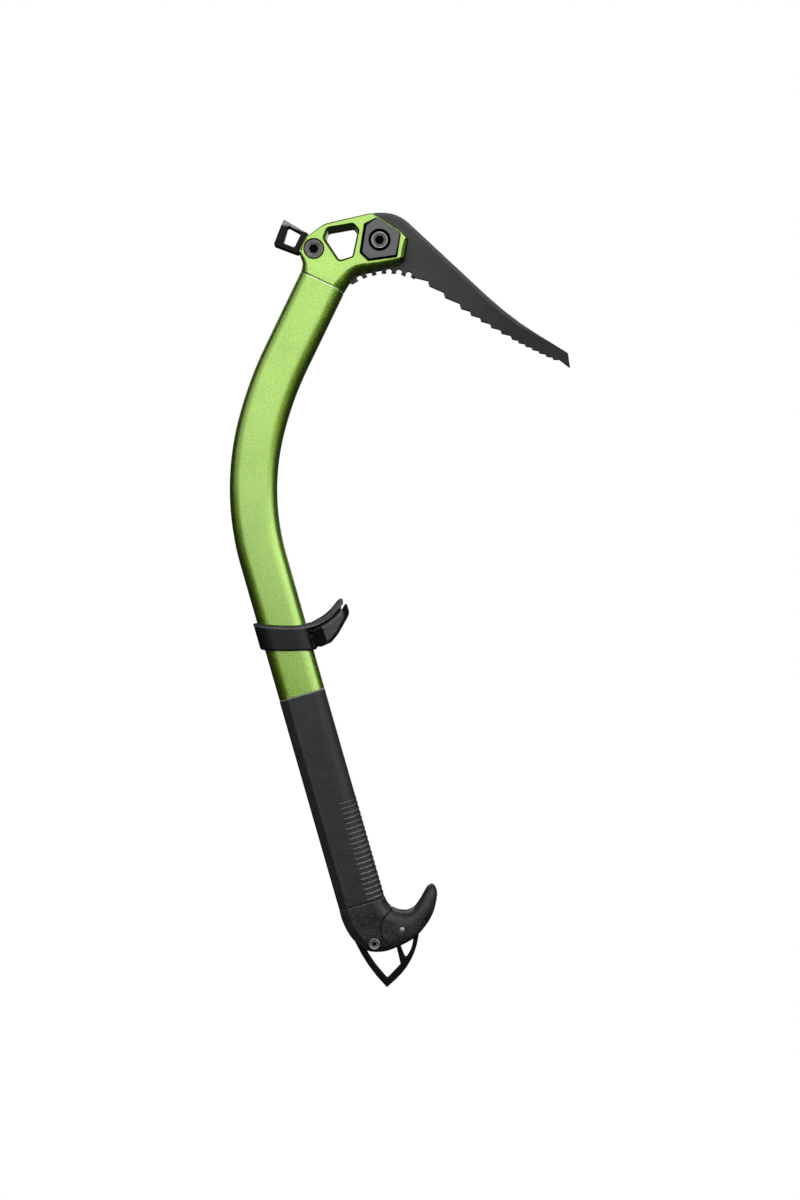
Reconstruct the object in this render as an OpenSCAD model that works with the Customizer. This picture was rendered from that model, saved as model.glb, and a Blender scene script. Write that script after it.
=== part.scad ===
// Ice climbing tool: bent tube shaft, two-cheek head with pick and hammer,
// clamp-on finger rest, ribbed grip, and a pommel with a turning hook and a spike.
// X runs along the pick, Z up and Y across the tool, away from the viewer.
// The origin is the centre of the clip-in eye in the head. All sizes are in mm.

/* [Shaft] */
// Width of the tube in the plane of the tool
shaft_w = 30.8; // [28:0.2:33]
// Thickness of the tube across the tool
shaft_t = 21; // [19:0.5:23]
// Corner radius of the tube's section
shaft_r = 8.5; // [6:0.5:9]
// Wall of the tube
shaft_wall = 1.9; // [1.5:0.1:2.3]
// Lean of the shaft under the head
upper_tilt = 25.7; // [20:0.1:30]
// Lean of the shaft at the grip, the other way
lower_tilt = 16; // [12:0.1:20]
// Lean at which the gentle upper bend turns into the lower bend
split_tilt = 14; // [8:0.5:18]
// Centreline radius of the upper bend
upper_bend_r = 236; // [200:1:270]
// Centreline radius of the lower bend
lower_bend_r = 167; // [150:1:190]
// Straight length between head and bend
upper_len = 53.5; // [40:0.5:65]
// Bare straight length between bend and grip
bare_len = 90.5; // [80:0.5:110]

/* [Head] */
// Place of the neck joint from the eye, along X
neck_x = -12.65; // [-14:0.05:-11]
// Place of the neck joint from the eye, along Z
neck_z = -25.4; // [-28:0.1:-24]
// Thickness of the head across the tool
head_t = 19; // [17:0.5:21]
// Length of the head's spigot in the tube
head_spigot = 28; // [15:1:40]
// Height over the neck joint where the rounded neck has become flat cheeks
neck_h = 17; // [14:0.5:20]
// Corner radius of the eye
eye_r = 2; // [1:0.5:3]
// Depth of the bevel around the eye
eye_bevel = 1; // [0.5:0.1:1.5]
// Gap left for bonded and seated parts
seat_gap = 0.1; // [0.05:0.05:0.2]

/* [Pick] */
// Thickness of the blade
pick_t = 4; // [3:0.1:5]
// Reach of the pick's point from the eye
pick_reach = 148.35; // [142:0.05:155]
// Drop of the pick's point below the eye
pick_drop = 80.3; // [77:0.1:84]
// Pitch of the coarse teeth
coarse_pitch = 12.7; // [11.5:0.1:13.5]
// Pitch of the middle teeth
middle_pitch = 7.75; // [7:0.05:8]
// Pitch of the fine teeth
fine_pitch = 5; // [4.4:0.1:5.2]
// Radius of the round notches under the head
notch_r = 1.9; // [1.2:0.1:2.2]
// Height of the blade over its middle teeth
blade_h = 11.6; // [10:0.1:12.6]

/* [Head bolts] */
// Shank diameter of the two head bolts
bolt_d = 6; // [5:0.5:6]
// Head diameter of the bolts and their sleeve nuts
bolt_head_d = 12.4; // [11:0.2:13]
// Head thickness of the bolts and their sleeve nuts
bolt_head_h = 2.2; // [1.8:0.1:2.6]
// Outside diameter of the sleeve nuts
sleeve_d = 8; // [7.6:0.2:8.6]
// Hex socket across flats
hex_af = 5; // [4:0.5:5]
// Depth of the hex socket
hex_h = 3; // [2.6:0.1:4]
// Thickness of the two head weights
weight_t = 3.4; // [3.2:0.1:4]
// Gap around each head weight in its pocket
weight_gap = 0.6; // [0.3:0.1:0.9]
// Radial gap between bolt head and counterbore
head_gap = 0.5; // [0.2:0.1:0.7]

/* [Hammer] */
// Width of the hammer across the tool
hammer_w = 8; // [7:0.5:12]
// Thickness of the hammer's tang
hammer_tang_t = 6; // [4:0.5:7]
// Radius of the tang around its bolt
hammer_tang_r = 6.4; // [5.5:0.1:7]
// Half width of the tang's neck
hammer_neck_half_w = 5.6; // [4.5:0.1:6]
// Length of the tang from its bolt into the hammer
hammer_tang_len = 12; // [11:0.1:13]

/* [Grip] */
// Length of the grip
grip_len = 140.5; // [120:0.5:150]
// Width of the grip in the plane of the tool
grip_w = 30; // [29.4:0.1:31]
// Thickness of the grip across the tool
grip_t = 22; // [21:0.5:24]
// Corner radius of the grip's section
grip_r = 9; // [7:0.5:10]
// Thickness of the rubber over the tube at the front
grip_wall = 2; // [1.6:0.1:2.4]
// Number of finger ribs
rib_count = 20; // [12:1:24]
// Pitch of the finger ribs
rib_pitch = 3.36; // [3:0.02:4]
// Width of the groove beside each rib
groove_w = 1.6; // [0.8:0.1:2]
// Depth of the grooves
groove_h = 0.6; // [0.3:0.1:0.9]
// Reach of the grooves back from the front of the grip
groove_reach = 11; // [8:0.5:14]

/* [Pommel and spike] */
// Thickness of the spike plate
spike_t = 4.2; // [3.5:0.1:5]
// Drop of the spike's point below the grip
spike_drop = 57.7; // [54:0.1:62]
// Length of the pommel's spigot in the tube
pommel_spigot = 32; // [26:1:40]
// Length of the spike's tang above the grip's end
tang_len = 27; // [15:1:30]
// Half width of the tang
tang_half_w = 6.5; // [5:0.5:7.5]
// Gap around the spike in its slots
slot_gap = 0.4; // [0.2:0.05:0.6]
// Shank diameter of the pommel bolt
pommel_bolt_d = 4; // [3:0.5:4]
// Head diameter of the pommel bolt and nut
pommel_head_d = 7.2; // [6.6:0.1:7.6]
// Distance of the pommel bolt's heads from the middle plane
pommel_seat = 7; // [6:0.1:7.4]

/* [Hook] */
// Diameter of the hook's pin
hook_pin_d = 3.3; // [2.8:0.1:4]
// Radius of the hook's knuckle
knuckle_r = 13.6; // [13:0.1:14]
// Gap between hook and pommel
knuckle_gap = 0.4; // [0.3:0.05:0.6]
// Half length of the hook's pin
hook_pin_half = 10.3; // [9:0.1:10.4]
// Running clearance on the radius of both hinge pins
pin_gap = 0.05; // [0.02:0.01:0.09]

/* [Trigger] */
// Height of the trigger over the lower end of the grip
trigger_up = 179; // [176:0.5:186]
// Gap between trigger band and shaft
band_gap = 0.3; // [0.3:0.05:0.5]
// Wall of the trigger band
band_wall = 2.3; // [2:0.1:3]
// Diameter of the lever's pin
lever_pin_d = 2.6; // [2:0.1:3]
// Distance of the lever's pin from the front of the shaft
lever_pin_out = 5.9; // [5.7:0.1:6.3]
// Radius of the lever's cam
cam_r = 3.2; // [2.9:0.1:3.2]
// Throw of the lever's cam
cam_throw = 0.5; // [0.3:0.1:0.7]
// Half width of the lever's cam between the ears
cam_half_w = 4.8; // [4:0.1:5.2]
// Thickness of each ear that holds the lever's pin
ear_t = 2.7; // [2.4:0.1:2.9]
// Thickness of the lever's cheeks that cover the ears
cheek_t = 1.3; // [1:0.1:1.4]
// Gap between lever and trigger
lever_gap = 0.4; // [0.3:0.05:0.6]

/* [Hidden] */
$fn = 64;

// Largest turn of one step in a rounded corner
step_angle = 9;

// Outline points are [x, z, corner radius]
function flat(p) = [p[0], p[1]];
function unit(v) = v / norm(v);
function mix(a, b, k) = a + (b - a) * k;
function polar(r, a) = r * [cos(a), sin(a)];
function cross2(a, b) = a[0] * b[1] - a[1] * b[0];
function after(pts, i) = pts[(i + 1) % len(pts)];
function before(pts, i) = pts[(i + len(pts) - 1) % len(pts)];

// Points of the arc that rounds corner b between a and c
function corner(a, b, c, r) =
    let (u = unit(a - b), v = unit(c - b), half = acos(u * v) / 2)
    let (mid = b + unit(u + v) * r / sin(half), p = b + u * r / tan(half), q = b + v * r / tan(half))
    let (from = atan2(p[1] - mid[1], p[0] - mid[0]), to = atan2(q[1] - mid[1], q[0] - mid[0]))
    let (turn = (to - from + 540) % 360 - 180, steps = ceil(abs(turn) / step_angle) + 1)
    [for (i = [0 : steps]) mid + polar(r, from + turn * i / steps)];

// Outline with its corners rounded
function rounded(pts) = [
    for (i = [0 : len(pts) - 1])
        each pts[i][2] > 0
            ? corner(flat(before(pts, i)), flat(pts[i]), flat(after(pts, i)), pts[i][2])
            : [flat(pts[i])]
];

// Counter-clockwise outline moved outward by d
function grown(pts, d) = [
    for (i = [0 : len(pts) - 1])
        let (e = unit(flat(pts[i]) - flat(before(pts, i))), f = unit(flat(after(pts, i)) - flat(pts[i])))
        let (n = [e[1], -e[0]], m = [f[1], -f[0]], p = flat(pts[i]) + (n + m) * d / (1 + n * m))
        [p[0], p[1], pts[i][2] > 0 ? max(0.05, pts[i][2] + d * sign(cross2(e, f))) : 0]
];

// Middle piece of a smooth curve through four values
function smooth(a, b, c, d, k) =
    b + ((c - a) * k + (2 * a - 5 * b + 4 * c - d) * k * k + (3 * b - a - 3 * c + d) * k * k * k) / 2;

// Centreline of the shaft, in (x, z)
neck = [neck_x, neck_z];
bend_top = neck - upper_len * [sin(upper_tilt), cos(upper_tilt)];
upper_bend = bend_top + upper_bend_r * [cos(upper_tilt), -sin(upper_tilt)];
lower_bend = upper_bend + (lower_bend_r - upper_bend_r) * [cos(split_tilt), -sin(split_tilt)];
bend_foot = lower_bend - lower_bend_r * [cos(lower_tilt), sin(lower_tilt)];
foot = bend_foot + (bare_len + grip_len) * [sin(lower_tilt), -cos(lower_tilt)];

// Necked section of the tube under the grip
neck_down_w = grip_w - 2 * grip_wall;
neck_down_t = grip_t - 2 * grip_wall;
neck_down_r = grip_r - grip_wall;
shoulder_h = 4;

// Runs of the tube overlap, each a hair larger than the next below, so that they join
run_lap = 1;
bend_lap_angle = 1;
run_step = 0.05;
top_step = 3 * run_step;

// Head outline, with its neck joint at the tube's corners
joint_half = (shaft_w / 2 + top_step) * [cos(upper_tilt), -sin(upper_tilt)];
joint_rear = neck - joint_half;
joint_front = neck + joint_half;
rear_top = [-22.4, 2.9];
rear_low = [-27.3, -6.6];
head_outline = [
    [joint_rear[0], joint_rear[1], 0],
    [joint_front[0], joint_front[1], 0],
    [8.2, -20.4, 17],
    [41.1, -12.9, 4.5],
    [43.4, 2.2, 2.5],
    [38.9, 5.9, 3],
    [19.5, 18.4, 3],
    [-11, 11.5, 14],
    [rear_top[0], rear_top[1], 3],
    [rear_low[0], rear_low[1], 2.5],
    [-24.8, -13.2, 6]
];
neck_form = [
    [[-34, neck_h], [34, neck_h], head_t / 2, 8],
    [[-17.5, neck_h / 2], [17.5, neck_h / 2], (shaft_t + head_t) / 4, 4],
    [[-shaft_w / 2 - top_step, 3], [shaft_w / 2 + top_step, 3], shaft_t / 2 + top_step, 3.2],
    [[-shaft_w / 2 - top_step, 0], [shaft_w / 2 + top_step, 0], shaft_t / 2 + top_step, 3.2]
];
eye_outline = [
    [-8.5, 8.2, eye_r], [-10.2, 2.1, eye_r], [-1, -11.9, eye_r],
    [7.3, -9.5, eye_r], [10.9, 7.2, eye_r], [7.8, 11.2, eye_r]
];

// Head weight outline, with its upper edge on the head's slanted edge
weight_outline = [
    [22.3, 14.6, 1], [15.9, 10.5, 1.5], [13, -7.2, 2],
    [17.8, -11.9, 2], [35.6, -9.4, 1.5], [38.6, 5.1, 1.5]
];
pocket_h = weight_t + 0.1;
pick_bolt_at = [24.8, 0.8];
hammer_bolt_at = [-17.6, -4.9];

// Round notches under the head lie on an arc
notch_mid = [30.65, -61];
notch_arc = 43.2;
edge_arc = 42.2;
notch_pitch = 8.65;
notch_first = 115.8;
notch_count = 6;

// Tooth tips follow an arc that flattens towards the point
tooth_arc = 414;
tooth_start = [57.05, -27.3];
row_end = [pick_reach - 6.9, 3.6 - pick_drop];
row_turn = 2 * asin(norm(row_end - tooth_start) / 2 / tooth_arc);
row_len = tooth_arc * row_turn * PI / 180;
row_chord = row_end - tooth_start;
tooth_heading = atan2(row_chord[1], row_chord[0]) - row_turn / 2;
coarse_count = 2;
middle_count = 5;
function heading(s) = tooth_heading + s / tooth_arc * 180 / PI;
function tip_at(s) =
    tooth_start + tooth_arc * [sin(heading(s)) - sin(tooth_heading), cos(tooth_heading) - cos(heading(s))];
fine_from = coarse_count + middle_count;
function tip_run(i) =
    min(i, coarse_count) * coarse_pitch
    + max(0, min(i, fine_from) - coarse_count) * middle_pitch
    + max(0, i - fine_from) * fine_pitch;
function tooth_h(i) = i <= coarse_count ? 2.2 : i <= fine_from ? 1.65 : 1.1;
fine_count = floor((row_len - fine_pitch / 2 - tip_run(fine_from)) / fine_pitch);
last_tooth = fine_from + fine_count;
spine_at = tip_run(fine_from - 1);
spine_bend = tip_at(spine_at) + polar(blade_h, heading(spine_at) + 90);
function valley_at(i) =
    let (run = tip_run(i), h = tooth_h(i))
    tip_at(run) + polar(-1.2 * h, heading(run)) + polar(h, heading(run) + 90);
pick_outline = concat(
    [[17.5, 15.6, 1], [16.2, -12.6, 2], [5.2, -17.1, 2], [2.9, -23.5, 0]],
    [for (a = [124 : -4 : 72]) let (p = notch_mid + polar(edge_arc, a)) [p[0], p[1], 0]],
    [for (i = [0 : last_tooth]) each [concat(valley_at(i), 0), concat(tip_at(tip_run(i)), 0)]],
    [
        [pick_reach - 6.6, 5.2 - pick_drop, 0], [pick_reach, -pick_drop, 0],
        [pick_reach - 1.3, 9.3 - pick_drop, 1.5], concat(spine_bend, 220),
        [36.2, 20.6, 25], [20.5, 20.2, 3]
    ]
);

// Hammer outline, seated on the head's rear face
hammer_outline = [
    [-37.4, 15.6, 1], [-43.9, -1.1, 1], [-28.8, -6.8, 0.5],
    [rear_low[0] - seat_gap, rear_low[1], 0], [rear_top[0] - seat_gap, rear_top[1], 0], [-21.2, 6, 1]
];
hammer_tang_angle = 153;
hammer_window = [[-34.6, 11, 1], [-37.8, 0.1, 1], [-30.5, -2.9, 1], [-26, 6.2, 1]];

// Stations of the pommel and hook form below the grip: rear, front, half thickness, roundness
end_form = [
    [[-grip_w / 2, 0], [grip_w / 2, 0], grip_t / 2, 3.6],
    [[-15, -8], [16.2, -5.6], 11, 3.4],
    [[-12.6, -19], [18.2, -8.8], 10.9, 3.2],
    [[-6, -29.9], [21, -11.1], 10.7, 3],
    [[4.6, -34.4], [24, -12.6], 10.5, 2.8],
    [[16, -34.1], [27.2, -13.3], 10.3, 2.6],
    [[27, -31.5], [31.5, -12.7], 9.8, 2.5],
    [[36, -26.1], [35.6, -9.9], 9, 2.4],
    [[42.6, -19.8], [39.3, -6.4], 8, 2.3],
    [[46.9, -12.8], [42.1, -3.6], 6.8, 2.2],
    [[49, -7.4], [44, -1.9], 5.2, 2.1],
    [[48.9, -3.4], [45.8, -1.2], 3, 2]
];
form_steps = 3;
form_sides = 24;

// Hook pin and pommel bolt, from the end of the grip
hook_pin_at = [21, -22.7];
pommel_bolt_at = [1.2, -26.7];
pommel_head_h = 2.4;
pommel_hex_af = 2.5;
pommel_hex_h = 1.6;
pommel_shank_end = pommel_seat + 2;
seam_x = 17.9;
seam_rise = 8;
sweep_r = 10.8;

// Reach of cuts that run past every part
cut_reach = 80;

// Spike outline and its two windows
spike_outline = [
    [tang_half_w, tang_len, 1], [-tang_half_w, tang_len, 1], [-tang_half_w, -9, 12],
    [-11.6, -20.5, 4], [-8.2, -41.3, 100], [0.7, -spike_drop, 0.6], [22.6, -47, 46],
    [29.9, -30.6, 0], [30.2, -26, 3], [20.5, -15.2, 8], [10.5, -16.2, 4], [tang_half_w, -9, 4]
];
big_window = [[-5.6, -31.3, 0.8], [-2.6, -41.2, 60], [2.5, -52.3, 1.2], [13.3, -46, 2], [13.9, -34, 1]];
small_window = [[17.5, -43.2, 1], [23.5, -37.8, 18], [26.3, -30.6, 0.8], [16.4, -33, 0.8]];
spike_slot_t = spike_t + 2 * slot_gap;

// Trigger band, finger plate and lever, from the trigger's own centre
band_half_w = shaft_w / 2 + band_gap + band_wall;
band_half_t = shaft_t / 2 + band_gap + band_wall;
lever_pin_at = [shaft_w / 2 + lever_pin_out, -7.5];
ear_in = cam_half_w + lever_gap;
ear_out = ear_in + ear_t;
ear_r = 4.5;
ear_half_h = 4.15;
ear_root = 12;
shoe_half_w = cam_half_w + lever_gap / 2;
shoe_half_h = 4.4;
shoe_in = shaft_w / 2 + band_gap;
shoe_out = lever_pin_at[0] - cam_r - cam_throw - band_gap;
band_outline = [
    [-band_half_w - 1, 14.9, 0], [-band_half_w - 1, -2.9, 0], [-14, -5, 2], [0.4, -9.4, 0],
    [16, -13.2, 0], [19, -13.2, 0], [19, 5, 0], [13.8, 4.3, 10], [-15.2, 13.8, 3]
];
plate_outline = [
    [14, 4.3, 0], [14, 0.2, 0], [22.5, 1.5, 30], [32, 3.6, 30], [41.9, 10.6, 0.8],
    [42.3, 14.6, 1], [39.4, 13.7, 7], [30.5, 7.4, 30], [19, 4.6, 20]
];
lever_outline = [
    [18.9, -0.4, 0.8], [21, -7.5, 0], [26.4, -10.2, 1], [33.6, -7.6, 20],
    [44.2, 3.2, 6], [44, 10.6, 0.6], [36.3, 4, 24], [26.8, 0.6, 20]
];
plan_outline = [
    [10, -10.5, 0], [30, -9.6, 30], [44.8, -6, 4], [44.8, 6, 4], [30, 9.6, 30], [10, 10.5, 0]
];

// Cheeks of the lever, which turn past the rounded corner of the band
cheek_in = ear_out + lever_gap;
band_r = shaft_r + band_gap + band_wall;
band_at = band_half_w - band_r + sqrt(pow(band_r, 2) - pow(cheek_in - band_half_t + band_r, 2));
cheek_r = lever_pin_at[0] - band_at - lever_gap;
cheek_rear = lever_pin_at + polar(cheek_r - 0.2, 160);
cheek_low = lever_pin_at - [0, cheek_r - 0.3];
cheek_plan_step = 0.15;
cheek_outline = [
    [19.4, -1.2, 0.8], concat(cheek_rear, 0), concat(cheek_low, 0), [27.4, -11.7, 3],
    [33.6, -6, 0], [32, 0.5, 0], [26.6, -0.4, 0]
];

// Rounded rectangle, the section of tube, grip and band
module section(w, t, r) {
    square([w - 2 * r, t], center = true);
    square([w, t - 2 * r], center = true);
    for (sx = [-1, 1], sy = [-1, 1])
        translate([sx * (w / 2 - r), sy * (t / 2 - r)])
            circle(r);
}

// Tube section moved inward by d
module tube_section(d) {
    section(shaft_w - 2 * d, shaft_t - 2 * d, shaft_r - d);
}

// Ring of the tube's wall, larger by a hair for each lap
module tube_ring(lap) {
    difference() {
        tube_section(-lap * run_step);
        tube_section(shaft_wall - lap * run_step);
    }
}

// Inside of the necked tube
module neck_down_bore() {
    section(neck_down_w - 2 * shaft_wall, neck_down_t - 2 * shaft_wall, neck_down_r - shaft_wall);
}

// Flat (x, z) outline stood upright with thickness t about y
module slab(t, y = 0) {
    translate([0, y + t / 2, 0])
        rotate([90, 0, 0])
            linear_extrude(t)
                children();
}

// Round bar across the tool at p, from y0 to y1
module bar(d, p, y0, y1) {
    translate([p[0], y1, p[1]])
        rotate([90, 0, 0])
            cylinder(d = d, h = y1 - y0);
}

// Bent run of the tube about a bend's centre, between two leans
module bend(mid, r, from, to, lap) {
    translate([mid[0], 0, mid[1]])
        rotate([90, 0, 0])
            rotate([0, 0, 180 - from])
                rotate_extrude(angle = from - to)
                    translate([r, 0])
                        tube_ring(lap);
}

// Values of a form between two of its stations
function form_at(form, i, k) =
    let (n = len(form) - 1, a = form[max(0, i - 1)], b = form[i])
    let (c = form[min(n, i + 1)], d = form[min(n, i + 2)])
    [for (j = [0 : 3]) smooth(a[j], b[j], c[j], d[j], k)];

// One ring of points of a form
function form_ring(s) = [
    for (j = [0 : form_sides - 1])
        let (c = cos(360 * j / form_sides), d = sin(360 * j / form_sides))
        let (u = sign(c) * pow(abs(c), 2 / s[3]), v = sign(d) * pow(abs(d), 2 / s[3]))
        let (p = mix(s[0], s[1], (1 + u) / 2))
        [p[0], v * s[2], p[1]]
];

// Smooth body through the stations of a form
module loft(form) {
    rings = [
        for (i = [0 : len(form) - 2], k = [0 : form_steps - 1]) form_ring(form_at(form, i, k / form_steps)),
        form_ring(form[len(form) - 1])
    ];
    last = len(rings) - 1;
    polyhedron(
        points = [for (r = rings) each r],
        faces = concat(
            [[for (j = [form_sides - 1 : -1 : 0]) j]],
            [[for (j = [0 : form_sides - 1]) last * form_sides + j]],
            [
                for (i = [0 : last - 1], j = [0 : form_sides - 1])
                    let (a = i * form_sides, b = a + form_sides, k = (j + 1) % form_sides)
                    each [[a + j, a + k, b + j], [a + k, b + k, b + j]]
            ]
        )
    );
}

// Places parts on the upper shaft, its Z up along the shaft
module at_neck() {
    translate([neck[0], 0, neck[1]])
        rotate([0, upper_tilt, 0])
            children();
}

// Places parts at the lower end of the grip, its Z up along the shaft
module at_foot() {
    translate([foot[0], 0, foot[1]])
        rotate([0, -lower_tilt, 0])
            children();
}

// Places parts at the trigger's centre
module at_trigger() {
    at_foot()
        translate([0, 0, trigger_up])
            children();
}

module shaft() {
    color("yellowgreen") {
        at_neck()
            translate([0, 0, -upper_len - run_lap])
                linear_extrude(upper_len + run_lap)
                    tube_ring(3);
        bend(upper_bend, upper_bend_r, upper_tilt, split_tilt - bend_lap_angle, 2);
        bend(lower_bend, lower_bend_r, split_tilt, -lower_tilt, 1);
        at_foot() {
            translate([0, 0, grip_len + shoulder_h - run_lap])
                linear_extrude(bare_len - shoulder_h + 2 * run_lap)
                    tube_ring(0);
            translate([0, 0, grip_len])
                linear_extrude(shoulder_h)
                    difference() {
                        tube_section(0);
                        neck_down_bore();
                    }
            linear_extrude(grip_len)
                difference() {
                    section(neck_down_w, neck_down_t, neck_down_r);
                    neck_down_bore();
                }
        }
    }
}

// Flat cheeks of the head over a rounded neck and spigot
module head_blank() {
    intersection() {
        slab(2 * shaft_t)
            polygon(rounded(head_outline));
        at_neck() {
            loft(neck_form);
            translate([-cut_reach, -head_t / 2, neck_h - 1])
                cube([2 * cut_reach, head_t, cut_reach]);
        }
    }
    at_neck()
        translate([0, 0, -head_spigot])
            linear_extrude(head_spigot + 3)
                tube_section(shaft_wall + seat_gap - top_step);
}

module head() {
    color("yellowgreen")
        difference() {
            head_blank();
            slab(head_t + 2)
                polygon(rounded(eye_outline));
            for (side = [-1, 1])
                slab(2 * eye_bevel, side * head_t / 2)
                    polygon(rounded(grown(eye_outline, eye_bevel)));
            slab(pick_t + 2 * seat_gap)
                polygon(rounded(grown(pick_outline, 2 * seat_gap)));
            slab(hammer_tang_t + 2 * seat_gap)
                hammer_tang(2 * seat_gap);
            for (side = [-1, 1])
                slab(2 * pocket_h, side * head_t / 2)
                    polygon(rounded(grown(weight_outline, weight_gap)));
            bar(sleeve_d + 2 * seat_gap, pick_bolt_at, -head_t, head_t);
            bar(sleeve_d + 2 * seat_gap, hammer_bolt_at, -head_t, head_t);
            bar(bolt_head_d + 2 * head_gap, hammer_bolt_at, -head_t, bolt_head_h - head_t / 2);
            bar(bolt_head_d + 2 * head_gap, hammer_bolt_at, head_t / 2 - bolt_head_h, head_t);
        }
}

module pick() {
    color("dimgray")
        slab(pick_t)
            difference() {
                polygon(rounded(pick_outline));
                for (i = [0 : notch_count - 1])
                    translate(notch_mid + polar(notch_arc, notch_first - i * notch_pitch))
                        circle(notch_r);
                translate(pick_bolt_at)
                    circle(d = sleeve_d + 2 * seat_gap);
            }
}

// Head weight for one side of the head
module weight(side) {
    color("gray")
        difference() {
            slab(weight_t, side * (head_t / 2 - pocket_h + weight_t / 2))
                polygon(rounded(weight_outline));
            bar(sleeve_d + 2 * seat_gap, pick_bolt_at, -head_t, head_t);
            slab(2 * bolt_head_h, side * (head_t / 2 - pocket_h + weight_t))
                translate(pick_bolt_at)
                    circle(d = bolt_head_d + 2 * head_gap);
        }
}

module weight_near() {
    weight(-1);
}

module weight_far() {
    weight(1);
}

// Flush bolt whose head ends at y = -reach on the near side
module flush_bolt(p, reach) {
    color("darkgray")
        difference() {
            union() {
                bar(bolt_head_d, p, -reach, bolt_head_h - reach);
                bar(bolt_d, p, bolt_head_h - reach - 1, reach - bolt_head_h - 1);
            }
            translate([p[0], hex_h - reach, p[1]])
                rotate([90, 0, 0])
                    cylinder(d = hex_af / cos(30), h = hex_h + 1, $fn = 6);
        }
}

// Sleeve nut that takes the bolt's shank from the far side
module sleeve_nut(p, reach) {
    color("darkgray")
        difference() {
            union() {
                bar(bolt_head_d, p, reach - bolt_head_h, reach);
                bar(sleeve_d, p, -pick_t / 2, reach - bolt_head_h + 1);
            }
            bar(bolt_d + 2 * seat_gap, p, -head_t, reach - bolt_head_h - 0.5);
        }
}

module pick_bolt() {
    flush_bolt(pick_bolt_at, head_t / 2 - pocket_h + weight_t);
}

module pick_nut() {
    sleeve_nut(pick_bolt_at, head_t / 2 - pocket_h + weight_t);
}

module hammer_bolt() {
    flush_bolt(hammer_bolt_at, head_t / 2);
}

module hammer_nut() {
    sleeve_nut(hammer_bolt_at, head_t / 2);
}

// Outline of the hammer's tang around its bolt, moved outward by gap
module hammer_tang(gap) {
    translate(hammer_bolt_at) {
        circle(hammer_tang_r + gap);
        rotate(hammer_tang_angle)
            translate([0, -hammer_neck_half_w - gap])
                square([hammer_tang_len, 2 * (hammer_neck_half_w + gap)]);
    }
}

module hammer() {
    color("darkslategray")
        difference() {
            union() {
                slab(hammer_w)
                    polygon(rounded(hammer_outline));
                slab(hammer_tang_t)
                    hammer_tang(0);
            }
            slab(hammer_w + 2)
                polygon(rounded(hammer_window));
            bar(sleeve_d + 2 * seat_gap, hammer_bolt_at, -hammer_w, hammer_w);
        }
}

module grip() {
    color("dimgray")
        at_foot()
            difference() {
                linear_extrude(grip_len)
                    difference() {
                        section(grip_w, grip_t, grip_r);
                        section(neck_down_w + seat_gap, neck_down_t + seat_gap, neck_down_r + seat_gap / 2);
                    }
                for (i = [0 : rib_count - 1])
                    translate([0, 0, 2 + i * rib_pitch])
                        linear_extrude(groove_w)
                            difference() {
                                translate([grip_w / 2 - groove_reach, -grip_t])
                                    square([groove_reach + 2, 2 * grip_t]);
                                section(grip_w - 2 * groove_h, grip_t - 2 * groove_h, grip_r - groove_h);
                            }
            }
}

// Side of the seam that belongs to the hook
module hook_zone(gap) {
    translate(hook_pin_at)
        circle(knuckle_r + gap);
    translate([seam_x - gap, hook_pin_at[1] + seam_rise])
        square(cut_reach);
    translate([hook_pin_at[0], -cut_reach])
        square(cut_reach);
}

module pommel() {
    color("darkslategray")
        at_foot()
            difference() {
                union() {
                    loft(end_form);
                    translate([0, 0, -2])
                        linear_extrude(pommel_spigot + 2)
                            offset_bore(seat_gap);
                }
                slab(cut_reach)
                    hook_zone(knuckle_gap);
                slab(spike_slot_t)
                    polygon(rounded(grown(spike_outline, slot_gap)));
                bar(pommel_bolt_d + 2 * seat_gap, pommel_bolt_at, -cut_reach, cut_reach);
                bar(pommel_head_d + 2 * seat_gap, pommel_bolt_at, -cut_reach, -pommel_seat);
                bar(pommel_head_d + 2 * seat_gap, pommel_bolt_at, pommel_seat, cut_reach);
            }
}

// Necked tube's bore less a gap all round
module offset_bore(gap) {
    section(
        neck_down_w - 2 * (shaft_wall + gap),
        neck_down_t - 2 * (shaft_wall + gap),
        neck_down_r - shaft_wall - gap
    );
}

module hook() {
    color("darkslategray")
        at_foot()
            difference() {
                intersection() {
                    loft(end_form);
                    slab(cut_reach)
                        hook_zone(0);
                }
                slab(spike_slot_t)
                    spike_sweep();
                bar(hook_pin_d + 2 * pin_gap, hook_pin_at, -cut_reach, cut_reach);
            }
}

// Room inside the hook for the spike over the hook's travel
module spike_sweep() {
    translate(hook_pin_at) {
        circle(sweep_r);
        polygon([[0, 0], for (a = [120, 180, 235, 290, 352]) polar(cut_reach, a)]);
    }
}

module hook_pin() {
    color("silver")
        at_foot()
            bar(hook_pin_d, hook_pin_at, -hook_pin_half, hook_pin_half);
}

module spike() {
    color("dimgray")
        at_foot()
            slab(spike_t)
                difference() {
                    polygon(rounded(spike_outline));
                    polygon(rounded(big_window));
                    polygon(rounded(small_window));
                    translate(pommel_bolt_at)
                        circle(d = pommel_bolt_d + 2 * seat_gap);
                    translate(hook_pin_at)
                        circle(d = hook_pin_d + 2 * pin_gap);
                }
}

module pommel_bolt() {
    color("silver")
        at_foot()
            difference() {
                union() {
                    bar(pommel_bolt_d, pommel_bolt_at, -pommel_seat - 1, pommel_shank_end);
                    bar(pommel_head_d, pommel_bolt_at, -pommel_seat - pommel_head_h, -pommel_seat);
                }
                translate([pommel_bolt_at[0], pommel_hex_h - pommel_head_h - pommel_seat, pommel_bolt_at[1]])
                    rotate([90, 0, 0])
                        cylinder(d = pommel_hex_af / cos(30), h = pommel_hex_h + 1, $fn = 6);
            }
}

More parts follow.
